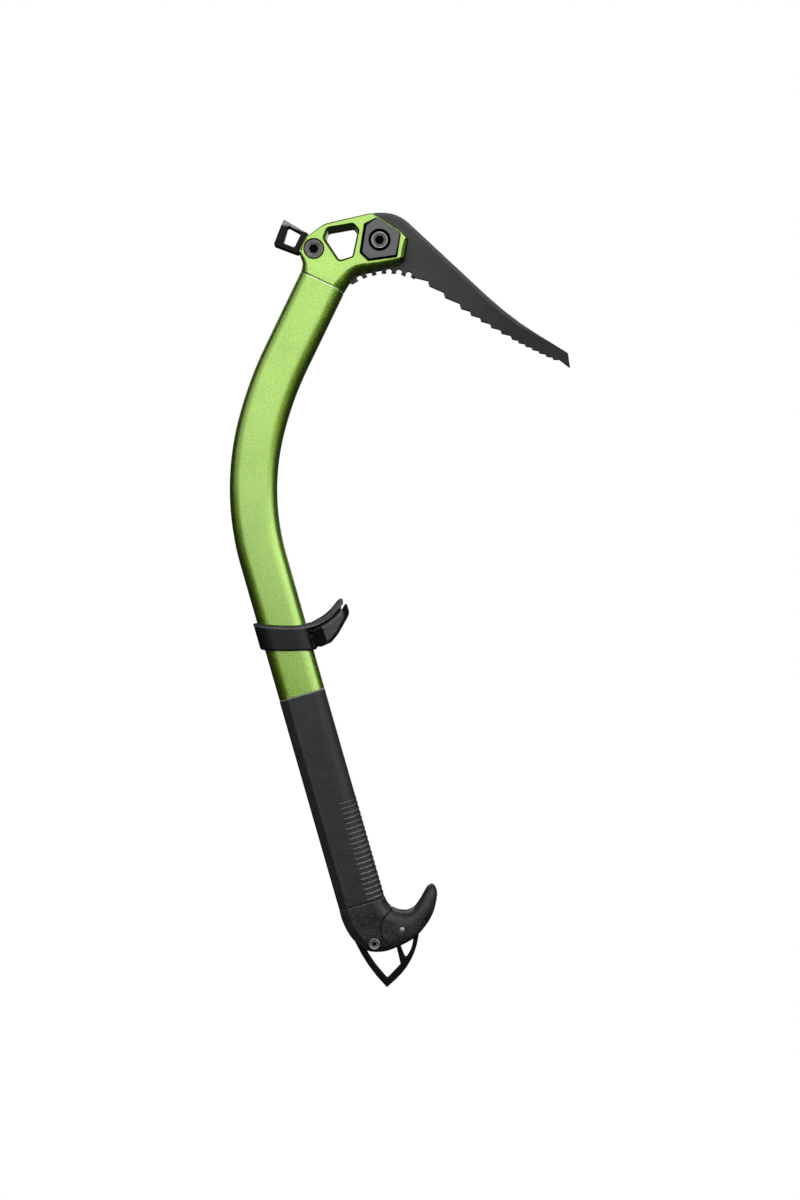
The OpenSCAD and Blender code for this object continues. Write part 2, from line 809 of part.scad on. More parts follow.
module pommel_nut() {
    color("silver")
        at_foot()
            difference() {
                bar(pommel_head_d, pommel_bolt_at, pommel_seat, pommel_seat + pommel_head_h);
                bar(pommel_bolt_d + 2 * seat_gap, pommel_bolt_at, 0, pommel_shank_end + seat_gap);
            }
}

// Outline of the ears that hold the lever's pin, moved outward by gap
module ear_outline(gap) {
    translate(lever_pin_at)
        circle(ear_r + gap);
    translate([ear_root, lever_pin_at[1] - ear_half_h - gap])
        square([lever_pin_at[0] - ear_root, 2 * (ear_half_h + gap)]);
}

// Part of an upright outline that lies inside the lever's plan, moved inward by step
module in_plan(step) {
    intersection() {
        children();
        translate([0, 0, -cut_reach / 2])
            linear_extrude(cut_reach)
                polygon(rounded(grown(plan_outline, -step)));
    }
}

module trigger_collar() {
    color("black")
        at_trigger()
            difference() {
                union() {
                    intersection() {
                        translate([0, 0, -cut_reach / 2])
                            linear_extrude(cut_reach)
                                section(2 * band_half_w, 2 * band_half_t, band_r);
                        slab(cut_reach)
                            polygon(rounded(band_outline));
                    }
                    in_plan(0)
                        slab(cut_reach)
                            polygon(rounded(plate_outline));
                    for (side = [-1, 1])
                        slab(ear_t, side * (ear_in + ear_out) / 2)
                            ear_outline(0);
                }
                translate([0, 0, -cut_reach / 2])
                    linear_extrude(cut_reach)
                        section(shaft_w + 2 * band_gap, shaft_t + 2 * band_gap, shaft_r + band_gap);
                translate([10, -shoe_half_w - seat_gap, lever_pin_at[1] - shoe_half_h - seat_gap])
                    cube([12, 2 * (shoe_half_w + seat_gap), 2 * (shoe_half_h + seat_gap)]);
                bar(lever_pin_d + seat_gap, lever_pin_at, -cut_reach, cut_reach);
            }
}

// One cheek of the lever
module cheek(side) {
    in_plan(cheek_plan_step)
        slab(cheek_t, side * (cheek_in + cheek_t / 2)) {
            polygon(rounded(cheek_outline));
            translate(lever_pin_at)
                circle(cheek_r);
        }
}

module trigger_lever() {
    color("black")
        at_trigger()
            difference() {
                union() {
                    difference() {
                        in_plan(0)
                            slab(cut_reach)
                                polygon(rounded(lever_outline));
                        for (side = [-1, 1])
                            slab(cut_reach, side * (cam_half_w + cut_reach / 2))
                                ear_outline(lever_gap);
                    }
                    bar(2 * cam_r, lever_pin_at - [cam_throw, 0], -cam_half_w, cam_half_w);
                    cheek(-1);
                    cheek(1);
                }
                bar(lever_pin_d + 2 * pin_gap, lever_pin_at, -ear_out - lever_gap / 2, cut_reach);
            }
}

module lever_pin() {
    color("silver")
        at_trigger()
            bar(lever_pin_d, lever_pin_at, -ear_out, ear_out);
}

module cam_shoe() {
    color("gray")
        at_trigger()
            translate([shoe_in, -shoe_half_w, lever_pin_at[1] - shoe_half_h])
                cube([shoe_out - shoe_in, 2 * shoe_half_w, 2 * shoe_half_h]);
}

// Part to draw, or all of them

shaft();
head();
pick();
pick_bolt();
pick_nut();
weight_near();
weight_far();
hammer();
hammer_bolt();
hammer_nut();
grip();
pommel();
spike();
pommel_bolt();
pommel_nut();
hook();
hook_pin();
trigger_collar();
trigger_lever();
lever_pin();
cam_shoe();
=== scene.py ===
"""Ice climbing tool: the shape and finish of every surface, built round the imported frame."""

import logging
import math
from dataclasses import dataclass
from enum import Enum
from typing import Any, Callable, Sequence, Union

import bmesh
import bpy
import numpy as np
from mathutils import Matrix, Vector
from mathutils.geometry import delaunay_2d_cdt, tessellate_polygon
from mathutils.kdtree import KDTree


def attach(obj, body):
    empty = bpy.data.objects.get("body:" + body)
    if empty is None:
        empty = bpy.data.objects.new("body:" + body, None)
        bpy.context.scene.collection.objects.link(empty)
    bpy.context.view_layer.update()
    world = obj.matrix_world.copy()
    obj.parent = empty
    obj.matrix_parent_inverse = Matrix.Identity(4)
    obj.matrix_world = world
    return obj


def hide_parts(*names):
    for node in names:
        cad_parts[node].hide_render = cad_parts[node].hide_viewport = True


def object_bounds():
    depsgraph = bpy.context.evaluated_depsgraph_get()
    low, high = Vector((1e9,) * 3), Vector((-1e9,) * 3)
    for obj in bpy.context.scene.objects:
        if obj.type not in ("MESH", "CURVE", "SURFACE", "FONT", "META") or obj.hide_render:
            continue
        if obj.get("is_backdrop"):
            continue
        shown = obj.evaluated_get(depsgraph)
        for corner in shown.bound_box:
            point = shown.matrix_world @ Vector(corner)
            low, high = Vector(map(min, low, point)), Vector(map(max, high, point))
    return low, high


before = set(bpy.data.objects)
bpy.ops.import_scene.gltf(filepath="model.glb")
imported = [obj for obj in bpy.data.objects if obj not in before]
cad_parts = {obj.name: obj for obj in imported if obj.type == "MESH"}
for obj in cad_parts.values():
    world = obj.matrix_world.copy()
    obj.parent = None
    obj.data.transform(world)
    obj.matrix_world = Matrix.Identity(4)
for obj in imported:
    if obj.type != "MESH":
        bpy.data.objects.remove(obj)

MM = 0.001
CAD_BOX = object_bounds()
Points = np.ndarray
Tone = Union[float, np.ndarray]
Steps = Sequence[tuple[float, float]]
Reach = Callable[[np.ndarray], Union[float, np.ndarray]]
log = logging.getLogger("ice_tool")


# Shader and geometry graphs


class Wire:
    """A node's output that takes part in Python sums."""

    def __init__(self, graph: "Graph", socket: bpy.types.NodeSocket) -> None:
        """Keeps the graph and the socket."""
        self.graph = graph
        self.socket = socket

    def _sum(self, operation: str, first: "Value", second: "Value") -> "Wire":
        """Adds one Math node to the graph."""
        return self.graph.add("ShaderNodeMath", {0: first, 1: second}, operation=operation)

    def __add__(self, other: "Value") -> "Wire":
        """self + other."""
        return self._sum("ADD", self, other)

    def __radd__(self, other: "Value") -> "Wire":
        """other + self."""
        return self._sum("ADD", other, self)

    def __sub__(self, other: "Value") -> "Wire":
        """self - other."""
        return self._sum("SUBTRACT", self, other)

    def __rsub__(self, other: "Value") -> "Wire":
        """other - self."""
        return self._sum("SUBTRACT", other, self)

    def __mul__(self, other: "Value") -> "Wire":
        """self * other."""
        return self._sum("MULTIPLY", self, other)

    def __pow__(self, other: "Value") -> "Wire":
        """self ** other."""
        return self._sum("POWER", self, other)


Value = Union[Wire, float, Sequence[float]]


class Graph:
    """A node tree that is filled from Python."""

    def __init__(self, tree: bpy.types.NodeTree) -> None:
        """Takes over an emptied node tree."""
        self.tree = tree
        tree.nodes.clear()

    def add(
        self,
        kind: str,
        inputs: dict[Union[int, str], Any] | None = None,
        out: Union[int, str] = 0,
        stops: Sequence[tuple[float, float]] = (),
        **settings: Any,
    ) -> Wire | None:
        """Adds a node.

        Args:
            kind: the node's type.
            inputs: values or links for its sockets, by name or number.
            out: the output that is wanted.
            stops: places and grey levels of a colour ramp.
            **settings: the node's own properties, set before its sockets.

        Returns:
            The wanted output, or None for a node that has no output.
        """
        node = self.tree.nodes.new(kind)
        for name, value in settings.items():
            setattr(node, name, value)
        if stops:
            ramp = node.color_ramp.elements
            while len(ramp) < len(stops):
                ramp.new(0.5)
            for element, (place, grey) in zip(ramp, stops):
                element.position = place
                element.color = (grey, grey, grey, 1)
        for key, value in (inputs or {}).items():
            if isinstance(value, Wire):
                self.tree.links.new(value.socket, node.inputs[key])
            else:
                node.inputs[key].default_value = value
        return Wire(self, node.outputs[out]) if node.outputs else None

    def blend(self, share: Value, first: Value, second: Value) -> Wire:
        """Mixes two colours.

        Args:
            share: 0 gives the first colour and 1 the second.
            first: a colour.
            second: a colour.

        Returns:
            The mixed colour.
        """
        inputs = {0: share, 6: first, 7: second}
        return self.add("ShaderNodeMix", inputs, out=2, data_type="RGBA", clamp_factor=True)


def colour(code: str) -> tuple[float, float, float, float]:
    """Turns a screen colour into the linear one that shaders take.

    Args:
        code: six hexadecimal digits after a hash sign.

    Returns:
        Red, green, blue and alpha.
    """
    parts = [int(code[k : k + 2], 16) / 255 for k in (1, 3, 5)]
    linear = [p / 12.92 if p <= 0.04045 else ((p + 0.055) / 1.055) ** 2.4 for p in parts]
    return (*linear, 1.0)


# Finishes


# Near black for painted shade: holes, recess floors, sockets, grooves, and faces turned away from the
# light; it also darkens the pick towards its tip
PAINTED_SHADE = "#0a0a0a"
GRAIN_STOPS = ((0.34, 0.0), (0.66, 1.0))
BRUSH_STRETCH = (0.08, 1.0, 1.0)
BUMP_MM = 0.1


class Texture(Enum):
    """How the grain of a finish lies."""

    SPECKLE = "fine bright grains of etched metal"
    BRUSHED = "short strokes along the surface"
    PEBBLE = "the small cells of a moulded surface"


@dataclass(frozen=True)
class Finish:
    """A surface of two tones that grain and slow clouds mix."""

    slot: str
    light: str
    dark: str
    metallic: float
    roughness: float
    texture: Texture
    grain_mm: float
    grain: float
    cloud_mm: float
    cloud: float
    rough_spread: float
    bump: float
    # Light colour for worn edges and for painted highlights
    edge: str = ""
    coat: float = 0.0
    coat_roughness: float = 0.3
    coat_ior: float = 1.5
    specular: float = 0.5

    def grain_of(self, graph: Graph, place: Wire) -> Wire:
        """Makes the grain's own pattern.

        Args:
            graph: the material's graph.
            place: the point's object coordinates.

        Returns:
            A value of about 0 to 1.
        """
        per_metre = 1 / (self.grain_mm * MM)
        if self.texture is Texture.PEBBLE:
            cells = {"Vector": place, "Scale": per_metre}
            return graph.add("ShaderNodeTexVoronoi", cells, feature="SMOOTH_F1")
        if self.texture is Texture.BRUSHED:
            stretch = {"Vector": place, "Scale": BRUSH_STRETCH}
            place = graph.add("ShaderNodeMapping", stretch)
        noise = {"Vector": place, "Scale": per_metre, "Detail": 3.0, "Roughness": 0.65}
        spots = graph.add("ShaderNodeTexNoise", noise)
        return graph.add("ShaderNodeValToRGB", {"Fac": spots}, stops=GRAIN_STOPS)

    def material(self) -> bpy.types.Material:
        """Gives the finish's material, made at the first call.

        Returns:
            The material, the same one at every call.
        """
        name = f"{self.slot}_finish"
        if name in bpy.data.materials:
            return bpy.data.materials[name]
        material = bpy.data.materials.new(name)
        material.use_nodes = True
        graph = Graph(material.node_tree)
        place = graph.add("ShaderNodeTexCoord", out="Object")
        # The factor turns a ramp's colour into a plain value
        grain = self.grain_of(graph, place) * 1.0
        drift = {"Vector": place, "Scale": 1 / (self.cloud_mm * MM), "Detail": 2.0}
        cloud = graph.add("ShaderNodeTexNoise", drift)
        tone = 0.5 + (grain - 0.5) * self.grain + (cloud - 0.5) * self.cloud
        base = graph.blend(tone, colour(self.dark), colour(self.light))
        rough = self.roughness + (grain - 0.5) * self.rough_spread
        # Per point: above 0 worn edges and painted highlights, below 0 painted shade
        wear_and_light = graph.add("ShaderNodeAttribute", out="Fac", attribute_name="wear_and_light")
        # Worn edges and painted highlights blend in the light edge colour
        if self.edge:
            base = graph.blend(wear_and_light * grain, base, colour(self.edge))
        # Painted shade: where the value is below 0 the colour goes near black, the surface turns metal and
        # loses its coat
        hollow = graph.add("ShaderNodeMath", {0: 0 - wear_and_light, 1: 0.0}, operation="MAXIMUM")
        base = graph.blend(hollow, base, colour(PAINTED_SHADE))
        height = {"Strength": self.bump, "Distance": BUMP_MM * MM, "Height": grain}
        shader = {
            "Base Color": base,
            "Metallic": self.metallic + hollow * (1 - self.metallic),
            "Roughness": rough,
            "Specular IOR Level": self.specular,
            "Coat Weight": (1 - hollow) * self.coat,
            "Coat Roughness": self.coat_roughness,
            "Coat IOR": self.coat_ior,
            "Normal": graph.add("ShaderNodeBump", height),
        }
        surface = graph.add("ShaderNodeBsdfPrincipled", shader)
        graph.add("ShaderNodeOutputMaterial", {"Surface": surface})
        return material


ANODISED = Finish(
    slot="anodised", light="#c0f242", dark="#619804", metallic=1.0, roughness=0.38,
    texture=Texture.SPECKLE, grain_mm=0.85, grain=0.5, cloud_mm=30, cloud=0.3,
    rough_spread=0.15, bump=0.6, edge="#e4f4cc", coat=1.0, coat_roughness=0.26, coat_ior=2.1,
)
PICK_STEEL = Finish(
    slot="pick_steel", light="#494b48", dark="#343634", metallic=0.0, roughness=0.55,
    texture=Texture.SPECKLE, grain_mm=0.9, grain=0.7, cloud_mm=25, cloud=0.6,
    rough_spread=0.12, bump=0.3, edge="#6c6d6b", specular=0.35,
)
WEIGHT_STEEL = Finish(
    slot="weight_steel", light="#7a797d", dark="#58575a", metallic=0.35, roughness=0.5,
    texture=Texture.SPECKLE, grain_mm=0.6, grain=1.0, cloud_mm=15, cloud=0.4,
    rough_spread=0.15, bump=0.3, edge="#c4c3c2",
)
BOLT_STEEL = Finish(
    slot="bolt_steel", light="#6c6a68", dark="#4a4847", metallic=0.55, roughness=0.42,
    texture=Texture.BRUSHED, grain_mm=0.5, grain=0.9, cloud_mm=8, cloud=0.3,
    rough_spread=0.15, bump=0.15, edge="#c9c7c4",
)
BLACK_STEEL = Finish(
    slot="black_steel", light="#171717", dark="#0d0d0d", metallic=0.0, roughness=0.45,
    texture=Texture.SPECKLE, grain_mm=0.5, grain=0.6, cloud_mm=12, cloud=0.4,
    rough_spread=0.15, bump=0.15, edge="#b8b8ba", specular=0.15,
)
BRIGHT_STEEL = Finish(
    slot="bright_steel", light="#dad6cf", dark="#b5aea4", metallic=0.7, roughness=0.38,
    texture=Texture.BRUSHED, grain_mm=0.4, grain=0.6, cloud_mm=6, cloud=0.4,
    rough_spread=0.12, bump=0.08,
)
GRIP_RUBBER = Finish(
    slot="grip_rubber", light="#3a3c3b", dark="#282a29", metallic=0.0, roughness=0.55,
    texture=Texture.PEBBLE, grain_mm=1.0, grain=1.7, cloud_mm=14, cloud=1.2,
    rough_spread=0.15, bump=0.3, edge="#9a9d9a", specular=0.45,
)
POMMEL_PLASTIC = Finish(
    slot="pommel_plastic", light="#464948", dark="#1a1d1c", metallic=0.0, roughness=0.42,
    texture=Texture.PEBBLE, grain_mm=1.2, grain=1.2, cloud_mm=9, cloud=1.0,
    rough_spread=0.15, bump=0.2, edge="#6b6e6c", specular=0.4,
)
TRIGGER_PLASTIC = Finish(
    slot="trigger_plastic", light="#1c1e22", dark="#111216", metallic=0.0, roughness=0.45,
    texture=Texture.PEBBLE, grain_mm=0.45, grain=0.6, cloud_mm=10, cloud=0.7,
    rough_spread=0.15, bump=0.3, edge="#9da09d", specular=0.35,
)


# Outlines in the tool's middle plane, in millimetres


def unit(v: Points) -> Points:
    """Gives a vector the length 1."""
    return v / np.linalg.norm(v)


def ease(t: Points) -> Points:
    """Goes smoothly from 0 to 1 while t does."""
    t = np.clip(t, 0, 1)
    return t * t * (3 - 2 * t)


def headings(angles: Points) -> Points:
    """Unit vectors in the middle plane at the given angles."""
    return np.column_stack([np.cos(angles), np.sin(angles)])


def closest(outline: Points, spot: Sequence[float]) -> int:
    """Number of the outline's point that lies closest to a spot."""
    return int(np.linalg.norm(outline - np.array(spot), axis=1).argmin())


def rounded(corners: Sequence[Sequence[float]], step: float = 7.5) -> Points:
    """Rounds the corners of a closed outline.

    Args:
        corners: x, z and radius of each corner.
        step: turn between two points of an arc, in degrees.

    Returns:
        The outline's points.
    """
    tips = np.array([c[:2] for c in corners], float)
    outline = []
    for k, corner in enumerate(corners):
        tip = tips[k]
        radius = corner[2]
        if radius <= 0:
            outline.append(tip)
            continue
        back = unit(tips[k - 1] - tip)
        ahead = unit(tips[(k + 1) % len(tips)] - tip)
        half = math.acos(float(np.clip(back @ ahead, -1, 1))) / 2
        mid = tip + unit(back + ahead) * radius / math.sin(half)
        first = tip + back * radius / math.tan(half) - mid
        last = tip + ahead * radius / math.tan(half) - mid
        start = math.atan2(first[1], first[0])
        turn = (math.atan2(last[1], last[0]) - start + 3 * math.pi) % (2 * math.pi) - math.pi
        count = max(2, math.ceil(abs(turn) / math.radians(step)))
        angles = start + turn * np.arange(count + 1) / count
        outline += list(mid + radius * headings(angles))
    return np.array(outline)


def spaced(outline: Points, step: float) -> Points:
    """Adds points to the long sides of a closed outline.

    Args:
        outline: the outline's points.
        step: the longest side that is left, in mm.

    Returns:
        The denser outline.
    """
    dense = []
    for start, end in zip(outline, np.roll(outline, -1, axis=0)):
        count = max(1, math.ceil(np.linalg.norm(end - start) / step))
        dense += [start + (end - start) * k / count for k in range(count)]
    return np.array(dense)


def inset(outline: Points, width: Union[float, Points]) -> Points:
    """Moves a closed outline to its left, where the material is.

    Args:
        outline: the outline's points.
        width: how far, one number or one for each point.

    Returns:
        The moved outline, point for point.
    """
    sides = [outline - np.roll(outline, 1, axis=0), np.roll(outline, -1, axis=0) - outline]
    lefts = [np.column_stack([-s[:, 1], s[:, 0]]) / np.linalg.norm(s, axis=1)[:, None] for s in sides]
    lean = np.maximum(1 + (lefts[0] * lefts[1]).sum(axis=1), 0.5)
    return outline + (lefts[0] + lefts[1]) * (width / lean)[:, None]


def circle(mid: Sequence[float], radius: float, count: int = 48) -> Points:
    """Points of a circle, counter-clockwise."""
    angles = 2 * math.pi * np.arange(count) / count
    return np.array(mid) + radius * headings(angles)


def inside(points: Points, outlines: Sequence[Points]) -> Points:
    """Tells which points lie in the first outline and in none of the others.

    Args:
        points: x and z of each.
        outlines: the outer outline and then the holes.

    Returns:
        True or False for each point.
    """
    odd = np.zeros(len(points), bool)
    x, z = points.T
    for outline in outlines:
        for (x0, z0), (x1, z1) in zip(outline, np.roll(outline, -1, axis=0)):
            if z0 != z1:
                odd ^= ((z0 > z) != (z1 > z)) & (x < (x1 - x0) * (z - z0) / (z1 - z0) + x0)
    return odd


def filled(outlines: Sequence[Points], grid: float) -> tuple[Points, list[tuple[int, ...]]]:
    """Fills an outline round its holes with triangles.

    Args:
        outlines: the outer outline and then the holes.
        grid: spacing of the points added inside, or 0 for none.

    Returns:
        The added points, and triangles that number the outlines' points first.
    """
    if not grid:
        flat = [[Vector((x, z, 0)) for x, z in outline] for outline in outlines]
        return np.empty((0, 2)), [tuple(t) for t in tessellate_polygon(flat)]
    rim = np.concatenate(outlines)
    low, high = rim.min(axis=0), rim.max(axis=0)
    columns = np.arange(low[0] + grid / 2, high[0], grid)
    rows = np.arange(low[1] + grid / 2, high[1], grid)
    spots = np.array([(x, z) for x in columns for z in rows])
    clear = np.linalg.norm(spots[:, None] - rim[None], axis=2).min(axis=1) > 0.6 * grid
    spots = spots[clear & inside(spots, outlines)]
    points = np.concatenate([rim, spots])
    sides = []
    for outline in outlines:
        start = sides[-1][0] + 1 if sides else 0
        count = len(outline)
        sides += [(start + k, start + (k + 1) % count) for k in range(count)]
    found = delaunay_2d_cdt([Vector(p) for p in points], sides, [], 0, 1e-7)
    source = [origin[0] for origin in found[3]]
    faces = np.array([[source[k] for k in face] for face in found[2]])
    kept = faces[inside(points[faces].mean(axis=1), outlines)]
    return spots, [tuple(face) for face in kept]


@dataclass(frozen=True)
class Place:
    """A frame in the tool's middle plane, turned about Y."""

    x: float
    z: float
    tilt: float

    @property
    def across(self) -> Points:
        """The frame's own x direction, as world x and z."""
        return np.array([math.cos(math.radians(self.tilt)), -math.sin(math.radians(self.tilt))])

    @property
    def up(self) -> Points:
        """The frame's own z direction, as world x and z."""
        return np.array([math.sin(math.radians(self.tilt)), math.cos(math.radians(self.tilt))])

    def flat(self, local: Sequence[Sequence[float]]) -> Points:
        """World x and z of points given by the frame's x and z."""
        local = np.atleast_2d(np.asarray(local, float))
        return np.array([self.x, self.z]) + local[:, :1] * self.across + local[:, 1:2] * self.up

    def spot(self, x: float, z: float) -> Points:
        """World x and z of one point given by the frame's x and z."""
        return self.flat([[x, z]])[0]

    def solid(self, local: Points) -> Points:
        """World points of points given by the frame's x, y and z."""
        world = self.flat(local[:, [0, 2]])
        return np.column_stack([world[:, 0], local[:, 1], world[:, 1]])

    def height(self, points: Points) -> Points:
        """The frame's own z of points given by world x and z."""
        return (points - np.array([self.x, self.z])) @ self.up

    def local(self, spots: Points) -> Points:
        """The frame's own x and z of world points."""
        away = spots[:, [0, 2]] - np.array([self.x, self.z])
        return np.column_stack([away @ self.across, away @ self.up])

    def moved(self, along: float) -> "Place":
        """The same frame, moved along its own z."""
        x, z = np.array([self.x, self.z]) + along * self.up
        return Place(float(x), float(z), self.tilt)


# Meshes


# Lengths in millimetres
MERGE_MM = 0.002
FACE_MM = 0.01
RECESS_EDGE = 0.2
RECESS_RIM = 0.26
FLAT_STRIP = 0.15
SOCKET_CHAMFER = 0.15

# Shares of a size, and shares of the painted shade in recesses and sockets
RECESS_WALL_SHADE = 0.6
JOINT_SCALE = 0.965
SOCKET_MOUTH = 1.05
SOCKET_MOUTH_SHADE = 0.4
SOCKET_WALL = 0.4
SOCKET_TIP = 0.5


class Draft:
    """Points in millimetres and faces of a mesh in the making."""

    def __init__(self) -> None:
        """Starts with no points."""
        self.points: list[Points] = []
        self.wear_light: list[float] = []
        self.faces: list[tuple[int, ...]] = []

    def add(self, points: Points, wear_light: Tone = 0.0) -> list[int]:
        """Adds points.

        Args:
            points: x, y and z of each.
            wear_light: 1 on an edge that shows wear and where a highlight is painted, -1 where shade is
                painted,
            otherwise 0; one number or one for each point.

        Returns:
            The points' numbers.
        """
        start = len(self.points)
        self.points += [np.asarray(p, float) for p in points]
        self.wear_light += np.broadcast_to(wear_light, len(points)).astype(float).tolist()
        return list(range(start, len(self.points)))

    def ring(self, outline: Points, y: Tone, wear_light: Tone = 0.0) -> list[int]:
        """Adds an outline of the middle plane at depth y."""
        depth = np.broadcast_to(y, len(outline))
        return self.add(np.column_stack([outline[:, 0], depth, outline[:, 1]]), wear_light)

    def bridge(self, first: list[int], second: list[int], closed: bool = True) -> None:
        """Joins two rows of points with four-sided faces.

        Args:
            first: numbers of the first row's points.
            second: numbers of the second row's points, as many.
            closed: whether the rows run all the way round.
        """
        last = len(first) if closed else len(first) - 1
        for k in range(last):
            n = (k + 1) % len(first)
            self.faces.append((first[k], first[n], second[n], second[k]))

    def skin(self, rows: Sequence[list[int]], closed: bool = True) -> None:
        """Bridges rows of points one after the other."""
        for first, second in zip(rows, rows[1:]):
            self.bridge(first, second, closed)

    def cap(self, rings: Sequence[list[int]], depth: Reach, grid: float = 0.0) -> None:
        """Fills a face.

        Args:
            rings: point numbers of the outer ring and then of the holes.
            depth: y of the points that are added inside, from their x and z.
            grid: spacing of those points, or 0 for none.
        """
        outlines = [np.array([self.points[k] for k in ring])[:, [0, 2]] for ring in rings]
        spots, faces = filled(outlines, grid)
        numbers = [k for ring in rings for k in ring]
        numbers += self.ring(spots, depth(spots)) if len(spots) else []
        self.faces += [tuple(numbers[k] for k in face) for face in faces]

    def loft(self, rings: Sequence[Points], wear_light: Sequence[Tone] = ()) -> None:
        """Skins closed rings of equal count and closes both ends.

        Args:
            rings: points of each ring.
            wear_light: wear and painted highlight of each ring, or nothing for none.
        """
        rows = [self.add(ring, tone) for ring, tone in zip(rings, wear_light or [0.0] * len(rings))]
        self.skin(rows)
        self.faces += [tuple(rows[0]), tuple(rows[-1])]

    def mirror(self) -> None:
        """Adds the far half as the near half's reflection."""
        count = len(self.points)
        self.points += [p * np.array([1, -1, 1]) for p in self.points]
        self.wear_light += self.wear_light
        self.faces += [tuple(count + k for k in reversed(f)) for f in self.faces]

    def shift(self, y: float) -> "Draft":
        """Moves every point across the tool."""
        self.points = [p + np.array([0, y, 0]) for p in self.points]
        return self

    def join(self, other: "Draft") -> None:
        """Takes in another draft's points and faces.

        Args:
            other: the draft that is added.
        """
        count = len(self.points)
        self.points += other.points
        self.wear_light += other.wear_light
        self.faces += [tuple(count + k for k in f) for f in other.faces]

    def piece(self, name: str, finish: Finish, sharp: float = 30.0) -> bpy.types.Object:
        """Makes the mesh object.

        Args:
            name: the object's name.
            finish: its surface.
            sharp: angle above which an edge is shown crisp, in degrees.

        Returns:
            The object, at the origin.
        """
        mesh = bpy.data.meshes.new(name)
        mesh.from_pydata((np.array(self.points) * MM).tolist(), [], self.faces)
        mesh.attributes.new("wear_and_light", "FLOAT", "POINT").data.foreach_set("value", self.wear_light)
        work = bmesh.new()
        work.from_mesh(mesh)
        bmesh.ops.remove_doubles(work, verts=work.verts, dist=MERGE_MM * MM)
        bmesh.ops.recalc_face_normals(work, faces=work.faces)
        work.to_mesh(mesh)
        work.free()
        mesh.materials.append(finish.material())
        shade(mesh, sharp)
        piece = bpy.data.objects.new(name, mesh)
        bpy.context.scene.collection.objects.link(piece)
        return piece


def shade(mesh: bpy.types.Mesh, sharp: float) -> None:
    """Shades a mesh smooth but for edges sharper than an angle in degrees."""
    mesh.shade_smooth()
    mesh.set_sharp_from_angle(angle=math.radians(sharp))


def settle_mesh(piece: bpy.types.Object) -> None:
    """Turns what a piece's modifiers make into its own plain mesh.

    Args:
        piece: the object, which loses its modifiers.
    """
    evaluated = piece.evaluated_get(bpy.context.evaluated_depsgraph_get())
    mesh = bpy.data.meshes.new_from_object(evaluated)
    piece.modifiers.clear()
    piece.data = mesh


def carve(piece: bpy.types.Object, tool: Draft, keep: bool = False) -> None:
    """Cuts a piece with a closed shape.

    Args:
        piece: the object that is cut.
        tool: the shape.
        keep: keep what lies in the shape, not what lies outside it.
    """
    cutter = tool.piece("cutter", TRIGGER_PLASTIC)
    modifier = piece.modifiers.new("carve", "BOOLEAN")
    modifier.object = cutter
    modifier.operation = "INTERSECT" if keep else "DIFFERENCE"
    modifier.solver = "EXACT"
    modifier.use_self = True
    settle_mesh(piece)
    bpy.data.objects.remove(cutter)


def soften(piece: bpy.types.Object, finish: Finish, cell: float, passes: int) -> None:
    """Melts a piece into one moulded skin with soft edges.

    Args:
        piece: the object.
        finish: its surface.
        cell: size of the skin's faces, in mm.
        passes: rounds of smoothing.
    """
    remesh = piece.modifiers.new("melt", "REMESH")
    remesh.mode = "VOXEL"
    remesh.voxel_size = cell * MM
    smooth = piece.modifiers.new("soften", "SMOOTH")
    smooth.factor = 0.5
    smooth.iterations = passes
    settle_mesh(piece)
    piece.data.materials.clear()
    piece.data.materials.append(finish.material())
    piece.data.shade_smooth()


def paint(piece: bpy.types.Object, tone: Callable[[Points, Points], Points]) -> None:
    """Sets the wear and the painted light and shade of a piece.

    Args:
        piece: the object.
        tone: wear and painted light and shade of its points, from their places in mm and their values so
            far.
    """
    mesh = piece.data
    spots = np.array([v.co for v in mesh.vertices]) / MM
    wear_and_light = mesh.attributes.get("wear_and_light") or mesh.attributes.new("wear_and_light", "FLOAT", "POINT")
    wear_light = np.zeros(len(spots))
    wear_and_light.data.foreach_get("value", wear_light)
    wear_and_light.data.foreach_set("value", tone(spots, wear_light))


def nearness(spots: Points, line: Points, width: float) -> Points:
    """How close points come to a line of closely set points.

    Args:
        spots: the points.
        line: points along the line.
        width: how far from the line the value falls to 0.

    Returns:
        1 on the line, falling smoothly to 0.
    """
    tree = KDTree(len(line))
    for k, spot in enumerate(line):
        tree.insert(spot, k)
    tree.balance()
    away = np.array([tree.find(spot)[2] for spot in spots])
    return ease(1 - away / width)


def prism(outline: Points, near: float, far: float) -> Draft:
    """A closed straight block between two depths.

    Args:
        outline: x and z of its outline.
        near: y of its near end.
        far: y of its far end.

    Returns:
        The closed draft.
    """
    draft = Draft()
    rows = [draft.ring(outline, y) for y in (near, far)]
    draft.bridge(*rows)
    draft.faces += [tuple(rows[0]), tuple(rows[1])]
    return draft


def edge_steps(width: float, depth: float, count: int = 4) -> Steps:
    """Steps of a rounded edge, from the side wall to the flat.

    Args:
        width: how far the edge reaches over the flat.
        depth: how far it reaches down the wall.
        count: faces along the edge, where one gives a chamfer.

    Returns:
        Inset and depth of each step.
    """
    angles = np.linspace(0, math.pi / 2, count + 1)
    return [(width * (1 - math.cos(a)), depth * (1 - math.sin(a))) for a in angles]


